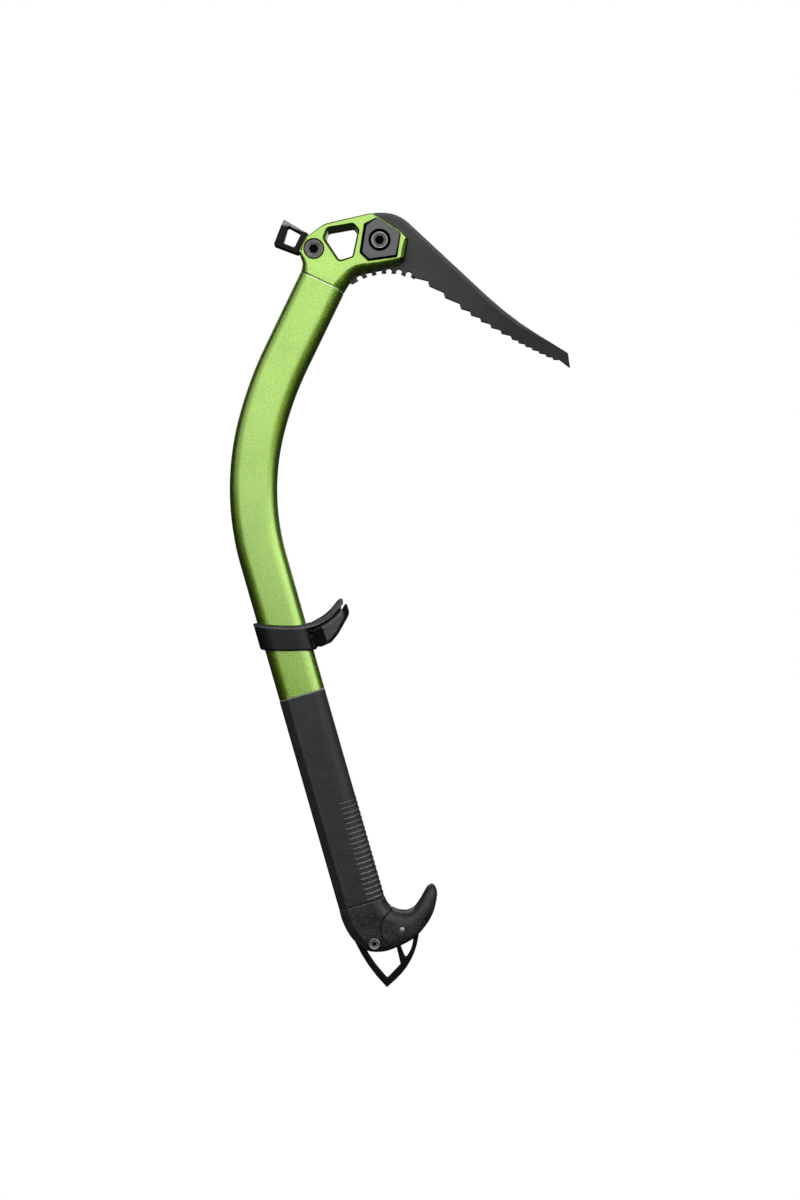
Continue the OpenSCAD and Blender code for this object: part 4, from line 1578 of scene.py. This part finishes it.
@dataclass
class Grip:
    """The moulded grip with its ridge and finger ribs."""

    foot: Place
    length: float = 140.5
    half_w: float = 15.0
    half_t: float = 11.0
    ridge_x: float = -9.0
    ridge_r: float = 1.5
    rear_half_t: float = 6.2
    front_r: float = 8.3
    rear_r: float = 3.6
    # Height above the foot, inset and wear of the lower edge
    foot_steps: Sequence[tuple[float, float, float]] = (
        (0.0, 0.35, -1.0), (0.3, 0.05, -0.7), (0.7, 0.0, 0.0),
    )
    # Distance below the top, inset and painted highlight of the upper edge
    top_steps: Sequence[tuple[float, float, float]] = (
        (0.9, 0.0, 0.0), (0.7, 0.0, 2.0), (0.2, 0.3, 2.0), (0.0, 0.8, 1.0),
    )
    level_step: float = 5.0
    ridge_highlight: float = 0.15
    rib_count: int = 20
    rib_pitch: float = 3.36
    rib_from: float = 2.2
    rib_reach: float = 12.5
    rib_h: float = 0.5
    rib_half_w: float = 0.6
    rib_sink: float = 0.1
    crest: tuple[float, float] = (4.0, 14.6)
    crest_soft: float = 1.5
    crest_highlight: float = 1.5
    crest_fade: tuple[float, float] = (40.0, 85.0)
    crest_loss: float = 0.8

    def section(self, count: int = 160) -> Points:
        """Draws the section, from the middle of the front counter-clockwise.

        Args:
            count: how many points it has.

        Returns:
            x and y of its points.
        """
        corners = [
            (self.half_w, -self.half_t, self.front_r), (self.half_w, self.half_t, self.front_r),
            (self.ridge_x, self.half_t, self.ridge_r), (-self.half_w, self.rear_half_t, self.rear_r),
            (-self.half_w, -self.rear_half_t, self.rear_r), (self.ridge_x, -self.half_t, self.ridge_r),
        ]
        outline = rounded(corners, 4)
        outline = np.concatenate([outline, outline[:1]])
        run = np.concatenate([[0], np.cumsum(np.linalg.norm(np.diff(outline, axis=0), axis=1))])
        middle = run[np.flatnonzero((outline[:-1, 1] <= 0) & (outline[1:, 1] > 0))[0]]
        start = middle - outline[np.searchsorted(run, middle), 1]
        wanted = (start + run[-1] * np.arange(count) / count) % run[-1]
        return np.column_stack([np.interp(wanted, run, outline[:, k]) for k in (0, 1)])

    def body(self) -> Draft:
        """Makes the sleeve, with a fine bead at its upper end and highlights painted on the bead and along
        the ridge.

        Returns:
            The closed draft.
        """
        section = self.section()
        ridge = np.array([self.ridge_x, self.half_t])
        away = np.linalg.norm(np.abs(section) * [-1, 1] - ridge, axis=1)
        # Painted highlight along the ridge
        painted_highlight = self.ridge_highlight * ease(1.3 - away / 1.2) * (section[:, 0] < 0)
        step = self.level_step
        levels = [*self.foot_steps]
        levels += [(z, 0.0, 0.0) for z in np.arange(step, self.length - step, step)]
        levels += [(self.length - down, drop, wear_light) for down, drop, wear_light in self.top_steps]
        rings = []
        for z, drop, _ in levels:
            ring = inset(section, drop)
            rings.append(self.foot.solid(np.column_stack([ring, np.full(len(ring), z)])))
        draft = Draft()
        draft.loft(rings, [wear_light if wear_light else painted_highlight for _, _, wear_light in levels])
        return draft

    def rib(self) -> Draft:
        """Makes one slim rib across the front, at the grip's foot, with a highlight painted on its crests.

        Returns:
            The closed draft.
        """
        section = spaced(self.section(240), 0.5)
        front = section[section[:, 0] > self.half_w - self.rib_reach]
        front = front[np.argsort(np.arctan2(front[:, 1], front[:, 0] - 4))]
        normal = np.gradient(front, axis=0)
        normal = np.column_stack([normal[:, 1], -normal[:, 0]])
        normal /= np.linalg.norm(normal, axis=1)[:, None]
        fade = np.sin(np.linspace(0, math.pi, len(front))) ** 0.35
        low, high = self.crest
        painted_highlight = ease((front[:, 0] - low) / self.crest_soft) * ease((high - front[:, 0]) / self.crest_soft)
        turns = np.linspace(0, 2 * math.pi, 12, endpoint=False)
        rings = []
        tones = []
        for spot, out, rise, share in zip(front, normal, fade, painted_highlight):
            lift = self.rib_h * rise * np.sin(turns) - self.rib_sink
            place = spot + out * lift[:, None]
            rings.append(self.foot.solid(np.column_stack([place, self.rib_half_w * np.cos(turns)])))
            # Painted highlight on the rib's crest
            tones.append(self.crest_highlight * share * np.clip(np.sin(turns), 0, 1) ** 2)
        draft = Draft()
        draft.loft(rings, tones)
        return draft

    def build(self, tree: bpy.types.NodeTree) -> None:
        """Makes the sleeve and its ribs, whose painted crest highlight fades upwards.

        Args:
            tree: the tree that makes a row of copies.
        """
        sleeve = self.body().piece("grip_sleeve", GRIP_RUBBER, 40)
        hand_over(sleeve, "tool", ["grip"], GRIP_RUBBER)
        ribs = self.rib().piece("grip_ribs", GRIP_RUBBER, 60)
        up = np.array([self.foot.up[0], 0, self.foot.up[1]])
        values = {
            "Count": self.rib_count, "Start": up * self.rib_from * MM,
            "Step": up * self.rib_pitch * MM, "Material": GRIP_RUBBER.material(),
        }
        grow(ribs, tree, values)
        low, high = self.crest_fade

        def faded(spots: Points, wear_light: Points) -> Points:
            """The crests' painted highlight, full at the foot and faint at the top."""
            up_grip = ease((self.foot.height(spots[:, [0, 2]]) - low) / (high - low))
            return wear_light * (1 - self.crest_loss * up_grip)

        paint(ribs, faded)
        hand_over(ribs, "tool", ["grip"], GRIP_RUBBER)


@dataclass
class Foot:
    """The pommel, the turning hook beside it, and their bolt, nut and pin."""

    foot: Place
    section: Points
    pin: tuple[float, float] = (21.0, -22.7)
    bolt: tuple[float, float] = (1.2, -26.7)
    knuckle_r: float = 13.6
    gap: float = 0.45
    seam_x: float = 17.9
    sweep_r: float = 10.8
    slot_half_t: float = 2.5
    bolt_r: float = 3.7
    bolt_seat: float = 7.0
    bolt_face: float = 10.3
    pin_r: float = 1.65
    pin_end: float = 10.7
    bolt_gap: float = 0.35
    bolt_hex: float = 2.5
    button_root: tuple[float, float, float] = (2.0, 3.0, 0)
    # Inset, drop and wear of each step of the bolt's head; the negative values paint shade into the sunken
    # ring inside the rim
    button_steps: Sequence[tuple[float, float, float]] = (
        (0, 2.9, 0), (0, 0.6, 0), (0.2, 0.15, 0), (0.5, 0, 0),
        (0.9, 0.1, 0), (1.05, 0.5, -0.9), (1.5, 0.6, -0.5), (1.7, 0.6, -0.3),
    )
    pin_gap: float = 0.5
    pin_seat: float = 0.9
    # Inset and drop of each step of the pin's end
    pin_steps: Sequence[tuple[float, float]] = ((0.6, 0.0), (0.15, 0.15), (0.0, 0.5))
    crease_to: float = 3.2
    crease_width: float = 1.6
    crease_highlight: float = 0.5
    rim_highlight: float = 0.8
    oval_from: float = 2.5
    oval_to: float = 5.0
    between: int = 6
    crown: tuple[float, float, float] = (47.6, 0, -1.6)
    crown_scale: float = 0.55
    reach: float = 80.0
    seam_top: float = 30.0
    cut_half: float = 20.0
    cell: float = 0.3
    passes: int = 4
    smooth: float = 40.0
    # Rear point, front point, half thickness and roundness of each section
    stations: Sequence[tuple] = (
        ((-15, 0), (15, 0), 11, 3.6), ((-15, -8), (16.2, -5.6), 11, 3.4),
        ((-12.6, -19), (18.2, -8.8), 10.9, 3.2), ((-6, -29.9), (21, -11.1), 10.7, 3),
        ((4.6, -34.4), (24, -12.6), 10.5, 2.8), ((16, -34.1), (27.2, -13.3), 10.3, 2.6),
        ((27, -31.5), (31.5, -12.7), 9.8, 2.5), ((36, -26.1), (35.6, -9.9), 9, 2.4),
        ((42.6, -19.8), (39.3, -6.4), 8, 2.3), ((46.9, -12.8), (42.1, -3.6), 6.8, 2.2),
        ((49, -7.4), (44, -1.9), 5.2, 2.1), ((48.9, -3.4), (45.8, -1.2), 3, 2),
    )

    def rings(self) -> list[Points]:
        """Draws the sections of the whole end form, smooth between the stations.

        Returns:
            World points of each section.
        """
        rows = np.array([[*rear, *front, half, n] for rear, front, half, n in self.stations])
        count = len(self.section)
        around = 2 * math.pi * np.arange(count) / count
        _, front, half_t, _ = self.stations[0]
        grip = self.section / np.array([front[0], half_t])
        rings = []
        for k in range(len(rows) - 1):
            a, b, c, d = (rows[min(max(j, 0), len(rows) - 1)] for j in (k - 1, k, k + 1, k + 2))
            for t in np.arange(self.between) / self.between:
                square = (2 * a - 5 * b + 4 * c - d) * t**2
                cube = (3 * b - a - 3 * c + d) * t**3
                row = 0.5 * (2 * b + (c - a) * t + square + cube)
                share = (k + t - self.oval_from) / (self.oval_to - self.oval_from)
                rings.append(self.ring(row, grip, around, share))
        rings.append(self.ring(rows[-1], grip, around, 1.0))
        tip = rings[-1].mean(axis=0)
        crown = self.foot.solid(np.array([self.crown]))[0]
        rings.append(crown + (rings[-1] - tip) * self.crown_scale)
        return rings

    def ring(self, row: Points, grip: Points, around: Points, share: float) -> Points:
        """One section.

        Args:
            row: rear and front point, half thickness and roundness.
            grip: the grip's section, each half being 1.
            around: angles for the oval section.
            share: 0 at the grip, 1 where the section has become an oval.

        Returns:
            The section's world points.
        """
        power = 2 / row[5]
        cosine, sine = np.cos(around), np.sin(around)
        oval = np.column_stack([np.sign(v) * np.abs(v) ** power for v in (cosine, sine)])
        mix = float(ease(np.array(share)))
        shape = grip * (1 - mix) + oval * mix
        mid = (row[0:2] + row[2:4]) / 2
        half = (row[2:4] - row[0:2]) / 2
        flat = mid + shape[:, :1] * half
        return self.foot.solid(np.column_stack([flat[:, 0], shape[:, 1] * row[4], flat[:, 1]]))

    def creases(self, rings: Sequence[Points]) -> Points:
        """Follows the ridges that run from the grip to the bolt.

        Args:
            rings: the sections of the end form.

        Returns:
            Closely set points along both ridges.
        """
        lines = []
        for side in (-1, 1):
            flat = np.flatnonzero(self.section[:, 1] * side > self.section[:, 1].max() - 0.15)
            ridge = flat[self.section[flat, 0].argmin()]
            line = np.array([ring[ridge] for ring in rings[: int(self.between * self.crease_to)]])
            steps = np.linspace(0, len(line) - 1, 150)
            run = range(len(line))
            lines.append(np.column_stack([np.interp(steps, run, line[:, k]) for k in range(3)]))
        return np.concatenate(lines)

    def zone(self, gap: float) -> Points:
        """Draws the hook's side of the seam.

        Args:
            gap: how far the outline is moved towards the pommel.

        Returns:
            World x and z of its outline.
        """
        edge = self.seam_x - gap
        radius = self.knuckle_r + gap
        first = math.acos((edge - self.pin[0]) / radius)
        turns = np.linspace(first, 1.5 * math.pi, 40)
        arc = np.array(self.pin) + radius * headings(turns)
        above = [(self.reach, self.seam_top), (edge, self.seam_top)]
        below = [(self.pin[0], -self.reach), (self.reach, -self.reach)]
        return self.foot.flat([*above, *arc, *below])

    def slot(self) -> Points:
        """Draws the room that the hook leaves for the spike.

        Returns:
            World x and z of its outline.
        """
        far = self.reach * headings(np.radians(np.linspace(120, 352, 12)))
        near = self.sweep_r * headings(np.radians(np.linspace(-8, 120, 24)))
        return self.foot.flat(np.array(self.pin) + np.concatenate([far, near]))

    def seats(self, piece: bpy.types.Object, mid: Points, radius: float, floor: float) -> None:
        """Sinks a round seat into both sides of a piece.

        Args:
            piece: the object.
            mid: world x and z of the seat's middle.
            radius: the seat's radius.
            floor: how far its floor is from the middle plane.
        """
        for side in (-1, 1):
            ends = sorted((side * self.cut_half, side * floor))
            carve(piece, prism(circle(mid, radius), *ends))

    def pommel(self, whole: Draft, rings: Sequence[Points]) -> None:
        """Makes the pommel, with highlights painted along the creases and on the edge under the grip.

        Args:
            whole: the end form.
            rings: its sections.
        """
        piece = whole.piece("pommel_body", POMMEL_PLASTIC)
        carve(piece, prism(self.zone(self.gap), -self.cut_half, self.cut_half))
        self.seats(piece, self.foot.spot(*self.bolt), self.bolt_r + self.bolt_gap, self.bolt_seat)
        soften(piece, POMMEL_PLASTIC, self.cell, self.passes)
        creases = self.creases(rings)

        def painted_highlight(spots: Points, wear_light: Points) -> Points:
            """Paints highlights along the creases and on the edge under the grip.

            Args:
                spots: points of the pommel.
                wear_light: their wear so far, which isn't used.

            Returns:
                Their painted highlight.
            """
            depth = -self.foot.height(spots[:, [0, 2]])
            # Painted highlights: a light edge under the grip and light lines along the creases
            rim = self.rim_highlight * ease(1.6 - np.abs(depth - 0.45) / 0.3)
            return np.maximum(self.crease_highlight * nearness(spots, creases, self.crease_width), rim)

        paint(piece, painted_highlight)
        hand_over(piece, "tool", ["pommel"], POMMEL_PLASTIC)

    def hook(self, whole: Draft) -> None:
        """Makes the hook, with room for the spike and seats for the pin's ends.

        Args:
            whole: the end form.
        """
        piece = whole.piece("hook_body", POMMEL_PLASTIC)
        carve(piece, prism(self.zone(0.0), -self.cut_half, self.cut_half), keep=True)
        carve(piece, prism(self.slot(), -self.slot_half_t, self.slot_half_t))
        floor = self.pin_end - self.pin_seat
        self.seats(piece, self.foot.spot(*self.pin), self.pin_r + self.pin_gap, floor)
        soften(piece, POMMEL_PLASTIC, self.cell, self.passes)
        hand_over(piece, "hook", ["hook"], POMMEL_PLASTIC)

    def fasteners(self) -> None:
        """Makes the bolt, its nut on the far side, and the hook's pin."""
        button = [self.button_root]
        button += [(self.bolt_r - inward, drop, wear_light) for inward, drop, wear_light in self.button_steps]
        x, z = self.foot.spot(*self.bolt)
        rows = (("pommel_bolt", turned(button, self.bolt_hex), 1), ("pommel_nut", turned(button), -1))
        for name, draft, side in rows:
            spots = np.array(draft.points) + np.array([x, -self.bolt_face, z])
            draft.points = list(spots * np.array([1, side, 1]))
            piece = draft.piece(f"{name}_head", BRIGHT_STEEL, self.smooth)
            hand_over(piece, "tool", [name], BRIGHT_STEEL)
        end = [(self.pin_r - inward, drop - self.pin_end, 0) for inward, drop in self.pin_steps]
        pin = turned(end + [(out, -y, wear_light) for out, y, wear_light in reversed(end)])
        x, z = self.foot.spot(*self.pin)
        pin.points = [spot + np.array([x, 0, z]) for spot in pin.points]
        piece = pin.piece("hook_pin_rod", BRIGHT_STEEL, self.smooth)
        hand_over(piece, "tool", ["hook_pin"], BRIGHT_STEEL)

    def build(self) -> None:
        """Makes pommel, hook, bolt, nut and pin."""
        rings = self.rings()
        whole = Draft()
        whole.loft(rings)
        self.pommel(whole, rings)
        self.hook(whole)
        self.fasteners()


@dataclass
class FingerRest:
    """The sliding collar with its finger plate, and the clamping lever under it."""

    place: Place
    shaft_half_w: float = 15.4
    shaft_half_t: float = 10.5
    shaft_r: float = 8.5
    gap: float = 0.35
    lip: float = 2.2
    wall: float = 2.0
    top: Sequence[tuple[float, float]] = (
        (-19, 13.4), (-17.9, 13.9), (-16.1, 14.1), (-8.1, 10.8),
        (0.5, 7.8), (9.3, 5.3), (13.8, 4.5), (19, 5.3),
    )
    bottom: Sequence[tuple[float, float]] = (
        (-19, -2.8), (-14.9, -4.7), (0.4, -9.4), (15.5, -13.1), (19, -13.2),
    )
    plate_outline: Sequence[Sequence[float]] = (
        (14, 4.3, 0), (14, 0.2, 0), (22.5, 1.5, 30), (32, 3.6, 30), (41.9, 10.6, 0.8),
        (42.3, 14.6, 1), (39.4, 13.7, 7), (30.5, 7.4, 30), (19, 4.6, 20),
    )
    plate_ribs: Sequence[tuple[float, float]] = (
        (15.5, -1.5), (18.05, -1.5), (18.1, -0.2), (19.5, 0.3), (22.5, 0.85), (27, 1.7),
        (30, 2.4), (32, 2.95), (35, 4.5), (39.8, 8.2), (39.8, 10.2), (35, 7), (32, 5),
        (27, 3.6), (22.5, 2.6), (15.5, 2),
    )
    lever_outline: Sequence[Sequence[float]] = (
        (18.9, -0.6, 0.8), (16.75, -6.2, 2.5), (17.6, -11.2, 3.5), (21.3, -12.45, 3), (27.4, -11.6, 4),
        (33, -7.8, 20), (44.2, 3.2, 6), (44, 10.6, 0.6), (36.3, 4, 24), (26.8, 0.6, 20),
    )
    lever_fin: Sequence[tuple[float, float]] = (
        (18.0, -2), (27, -1.5), (36, 2), (39.5, 5.5), (39.5, 8.4), (35, 5.1), (32, 3.6), (30, 2.85),
        (27, 2.05), (22.5, 1.1), (18.0, 0.2),
    )
    panel: Sequence[Sequence[float]] = (
        (25.5, -0.7, 0.5), (26.3, -9.2, 0.5), (32, -6.1, 10),
        (41.7, 3, 2), (41.6, 6.7, 0.5), (34.9, 2.2, 15),
    )
    hollow: Sequence[Sequence[float]] = (
        (20.3, -1.7, 0.6), (18.3, -6.2, 1.5), (19.2, -10.2, 1.5), (21.6, -11.2, 1), (24.9, -10.6, 0.6),
        (24.2, -1.1, 0.6),
    )
    cam_room: Sequence[tuple[float, float]] = (
        (18.15, 0.5), (18.15, -4.6), (17.6, -7.5), (18.9, -9.9), (20.8, -10.8),
        (26.4, -10.3), (31.5, -9.4), (31.5, -16), (10, -16), (10, 0.5),
    )
    ear_room: Sequence[tuple[float, float]] = (
        (9.3, -2.95), (9.3, -16), (31.5, -16), (31.5, -9.4), (26.4, -10.3),
    )
    lever_top: Sequence[tuple[float, float]] = ((18.9, -0.6), (26.8, 0.6), (36.3, 4.2), (44, 10.6))
    lever_foot: Sequence[tuple[float, float]] = (
        (17, -12.4), (21.3, -12.4), (27.4, -11.5), (33, -7.7), (44.2, 3.4),
    )
    panel_x: tuple[float, float] = (25.0, 40.8)
    panel_line_x: tuple[float, float] = (24.5, 41.2)
    panel_depth: float = 0.5
    hollow_depth: float = 0.7
    plan: Sequence[tuple[float, float]] = (
        (10, 10.5), (20, 10.3), (30, 9.5), (38, 8.0), (42, 6.9), (43.5, 6.0), (44.6, 4.2),
    )
    lip_foot: Sequence[tuple[float, float]] = ((-19, 11), (-16, 11.6))
    lip_h: float = 2.5
    rib_span: tuple[float, float] = (3.4, 6.0)
    fin_half_w: float = 3.0
    pin: tuple[float, float] = (21.3, -7.5)
    ear_r: float = 4.5
    ear_half_h: float = 4.15
    ear_root: float = 12.0
    ear_in: float = 5.2
    ear_out: float = 7.9
    cam_half_w: float = 4.8
    cam_gap: float = 0.1
    lever_gap: float = 0.4
    cell: float = 0.33
    passes: int = 3
    smooth: float = 35.0

    def half_plan(self, points: Points) -> Points:
        """Half the width of plate and lever at the frame's own x."""
        return np.interp(points[:, 0], *zip(*self.plan))

    def band(self) -> Draft:
        """Makes the ring round the shaft with its rolled upper lip.

        Returns:
            The closed draft, in the frame's own coordinates.
        """
        half_w = self.shaft_half_w + self.gap
        half_t = self.shaft_half_t + self.gap
        radius = self.shaft_r + self.gap
        corners = [(x * half_w, y * half_t, radius) for x, y in ((1, -1), (1, 1), (-1, 1), (-1, -1))]
        inner = spaced(rounded(corners, 4), 0.8)
        upper = [(0, 0.5), (0.5, 0), (1.5, -0.05), (self.lip, 0.5)]
        upper += [(self.lip + 0.05, 1.3), (1.9, 2.1), (self.wall, 2.6)]
        lower = [(self.wall, 1.0), (self.wall - 0.3, 0.3), (0.7, 0), (0, 0.4)]
        draft = Draft()
        rows = []
        for line, sign, steps in ((self.top, -1, upper), (self.bottom, 1, lower)):
            for out, drop in steps:
                ring = inset(inner, -out)
                z = np.interp(ring[:, 0], *zip(*line)) + sign * drop
                rows.append(draft.add(np.column_stack([ring, z])))
        draft.skin(rows + rows[:1])
        return draft

    def arc(self, radius: float, first: float, last: float, count: int) -> Points:
        """Points on an arc about the lever's pin, in the frame's own x and z."""
        turns = np.radians(np.linspace(first, last, count))
        return np.array(self.pin) + radius * headings(turns)

    def ear(self) -> Points:
        """Draws a hinge ear about the lever's pin.

        Returns:
            Its outline, in the frame's own x and z.
        """
        x, z = self.pin
        root = [(x - self.ear_root, z + rise) for rise in (self.ear_half_h, -self.ear_half_h)]
        return np.concatenate([self.arc(self.ear_r, -100, 100, 30), root])

    def placed(self, draft: Draft) -> Draft:
        """Turns a draft from the frame's own coordinates to the world's."""
        draft.points = list(self.place.solid(np.array(draft.points)))
        return draft

    def collar(self) -> bpy.types.Object:
        """Makes the collar, its finger plate and its ears as one moulding.

        Returns:
            The finished piece.
        """
        draft = self.band()
        shelf = spaced(rounded(self.plate_outline, 5), 1.0)
        draft.join(plate([shelf], self.half_plan, edge_steps(0.5, 0.5, 3), grid=1.2))
        half = (self.ear_out - self.ear_in) / 2
        for side in (-1, 1):
            ear = plate([self.ear()], lambda spots: half, edge_steps(0.3, 0.3, 2))
            draft.join(ear.shift(side * (self.ear_in + half)))
            draft.join(prism(np.array(self.plate_ribs), *sorted(side * y for y in self.rib_span)))
        piece = self.placed(draft).piece("finger_rest", TRIGGER_PLASTIC)
        soften(piece, TRIGGER_PLASTIC, self.cell, self.passes)
        # Painted light on the lip and the plate, and a painted highlight line under them
        paint(piece, self.lip_painted_light)
        return piece

    def lip_painted_light(self, spots: Points, wear_light: Points) -> Points:
        """Paints light grey on the rolled lip and the plate, which face up into the light, with a
        highlight line painted along their lower edge.

        Args:
            spots: points of the collar.
            wear_light: their wear so far, which isn't used.

        Returns:
            Their painted light.
        """
        x, z = self.place.local(spots).T
        plate_top = [corner[:2] for corner in self.plate_outline[:4:-1]]
        plate_foot = [corner[:2] for corner in self.plate_outline[2:5]]
        band_foot = [(along, up - self.lip_h) for along, up in self.top[3:-1]]
        high = np.interp(x, *zip(*self.top[:-1], *plate_top))
        low = np.interp(x, *zip(*self.lip_foot, *band_foot, *plate_foot))
        share = (z - low) / (high - low)
        grey = 0.4 * ease((share - 0.1) / 0.2) * ease((0.85 - share) / 0.2)
        line = 1.4 * ease(1.5 - np.abs(z - low - 0.5) / 0.4)
        return np.maximum(grey, line)

    def lever(self) -> bpy.types.Object:
        """Makes the lever with a plain panel and a hollow in each side, open round the ears, with shade
        painted into the hollow.

        Returns:
            The finished piece.
        """
        outline = spaced(rounded(self.lever_outline, 5), 0.8)
        sunk = ((self.panel, self.panel_depth), (self.hollow, self.hollow_depth))
        panels = [(spaced(rounded(corners, 10), 0.8)[::-1], depth) for corners, depth in sunk]
        steps = edge_steps(0.35, 0.5, 3)
        draft = plate([outline], self.half_plan, steps, grid=0.9, wear_light=0.5, panels=panels)
        draft.join(prism(np.array(self.lever_fin), -self.fin_half_w, self.fin_half_w))
        piece = self.placed(draft).piece("clamp_lever", TRIGGER_PLASTIC)
        cam_side = self.cam_half_w + self.cam_gap
        carve(piece, prism(self.place.flat(self.cam_room), -cam_side, cam_side))
        cheek = self.ear_out + self.lever_gap
        tip = self.arc(self.ear_r + self.lever_gap, -30, 100, 24)
        room = self.place.flat(np.concatenate([tip, self.ear_room]))
        for side in (-1, 1):
            carve(piece, prism(room, *sorted((side * self.cam_half_w, side * cheek))))
        # Painted shade in the hollow and on the lower rim, and a painted highlight line above the panel
        paint(piece, self.lever_light_and_shade)
        shade(piece.data, self.smooth)
        return piece

    def lever_light_and_shade(self, spots: Points, wear_light: Points) -> Points:
        """Paints shade into the lever's hollow and lower rim, with a grey panel and a highlight line
        painted above it.

        Args:
            spots: points of the lever.
            wear_light: their wear so far, which isn't used.

        Returns:
            Their painted shade and highlight, and the panel's grey.
        """
        x, z = self.place.local(spots).T
        high = np.interp(x, *zip(*self.lever_top)) - z
        low = z - np.interp(x, *zip(*self.lever_foot))
        first, last = self.panel_x
        panel = ease((x - first) / 0.8) * ease((low - 1.8) / 0.6) * ease((last - x) / 0.6)
        first, last = self.panel_line_x
        line = ease((x - first) / 0.6) * ease(1.5 - np.abs(high - 1.2) / 0.4) * ease((last - x) / 0.6)
        return np.maximum(0.4 * panel, 1.5 * line) - 0.9 * (1 - panel) * (low > 0.5) * (high > 0.7)

    def build(self) -> None:
        """Makes collar and lever, and dresses the nodes that stay as they are."""
        hand_over(self.collar(), "trigger", ["trigger_collar"], TRIGGER_PLASTIC)
        hand_over(self.lever(), "lever", ["trigger_lever"], TRIGGER_PLASTIC)
        for node, finish in (("lever_pin", BRIGHT_STEEL), ("cam_shoe", TRIGGER_PLASTIC)):
            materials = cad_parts[node].data.materials
            materials.clear()
            materials.append(finish.material())
            log.info("%s: CAD node with %s", node, finish.slot)


# Studio


@dataclass
class Studio:
    """Camera, lights, floor and background."""

    frame_mm: tuple[float, float] = (38.0, -231.25)
    distance: float = 1.05
    frame_height: float = 0.78
    sensor: float = 36.0
    floor_z: float = CAD_BOX[0][2]
    floor_half: float = 6.0
    dim: float = 0.015
    # Name, azimuth, height, distance, size and glow of each light
    boxes: Sequence[tuple] = (
        ("front_box", 0, 0.78, 1.8, (2.7, 1.96), 1.42),
        ("left_box", -56, 1.05, 1.8, (1.6, 1.96), 0.65),
        ("right_box", 58, 1.0, 1.8, (1.75, 1.96), 1.85),
        ("back_box", 180, 1.15, 1.6, (2.6, 1.6), 1.2),
    )

    def camera(self) -> None:
        """Looks at the tool square on, as the photograph does."""
        data = bpy.data.cameras.new("camera")
        data.sensor_width = self.sensor
        data.lens = self.sensor * self.distance / self.frame_height
        camera = bpy.data.objects.new("camera", data)
        camera.location = (self.frame_mm[0] * MM, -self.distance, self.frame_mm[1] * MM)
        camera.rotation_euler = (math.pi / 2, 0, 0)
        bpy.context.scene.collection.objects.link(camera)
        bpy.context.scene.camera = camera

    def softbox(
        self,
        name: str,
        azimuth: float,
        height: float,
        away: float,
        size: tuple[float, float],
        glow: float,
    ) -> None:
        """Adds one large light that faces the tool.

        Args:
            name: the light's name.
            azimuth: degrees to the right of the camera.
            height: metres above the tool's middle.
            away: metres from the tool.
            size: width and height in metres.
            glow: brightness of its face, where 1 shows as white.
        """
        data = bpy.data.lights.new(name, "AREA")
        data.shape = "RECTANGLE"
        data.size, data.size_y = size
        data.energy = glow * math.pi * size[0] * size[1]
        light = bpy.data.objects.new(name, data)
        turn = math.radians(azimuth)
        middle = Vector((self.frame_mm[0] * MM, 0, self.frame_mm[1] * MM))
        light.location = middle + Vector((math.sin(turn) * away, -math.cos(turn) * away, height))
        light.rotation_euler = (middle - light.location).to_track_quat("-Z", "Y").to_euler()
        bpy.context.scene.collection.objects.link(light)

    def surroundings(self) -> None:
        """White behind the tool for the camera, dim grey for reflections, and a white floor."""
        scene = bpy.context.scene
        scene.view_settings.view_transform = "Standard"
        world = bpy.data.worlds.new("studio")
        scene.world = world
        world.use_nodes = True
        graph = Graph(world.node_tree)
        seen = graph.add("ShaderNodeLightPath", out="Is Camera Ray")
        strength = self.dim + seen * (1 - self.dim)
        glow = graph.add("ShaderNodeBackground", {"Color": (1, 1, 1, 1), "Strength": strength})
        graph.add("ShaderNodeOutputWorld", {"Surface": glow})
        mesh = bpy.data.meshes.new("floor")
        half = self.floor_half
        spots = [(x * half, y * half, self.floor_z) for x, y in ((-1, -1), (1, -1), (1, 1), (-1, 1))]
        mesh.from_pydata(spots, [], [(0, 1, 2, 3)])
        material = bpy.data.materials.new("floor_white")
        material.use_nodes = True
        floor_graph = Graph(material.node_tree)
        white = floor_graph.add("ShaderNodeEmission", {"Color": (1, 1, 1, 1), "Strength": 1.0})
        floor_graph.add("ShaderNodeOutputMaterial", {"Surface": white})
        mesh.materials.append(material)
        floor = bpy.data.objects.new("floor", mesh)
        floor.visible_diffuse = False
        floor.visible_glossy = False
        floor.visible_shadow = False
        scene.collection.objects.link(floor)
        floor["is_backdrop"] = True

    def build(self) -> None:
        """Sets everything up."""
        self.camera()
        self.surroundings()
        for box in self.boxes:
            self.softbox(*box)


def main() -> None:
    """Builds the tool's pieces in order, then the studio, and works out both boxes."""
    logging.basicConfig(level=logging.INFO, format="%(message)s")
    row, tube = row_tree(), tube_tree()
    shaft = Shaft()
    shaft.build(tube)
    Head(shaft.neck_place).build(row)
    Blades().build()
    grip = Grip(shaft.foot_place)
    grip.build(row)
    Foot(shaft.foot_place, grip.section()).build()
    FingerRest(shaft.trigger_place).build()
    Studio().build()
    boxes = {"cad": CAD_BOX, "visual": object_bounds()}
    sizes = {name: [list(corner) for corner in box] for name, box in boxes.items()}


if __name__ == "__main__":
    main()
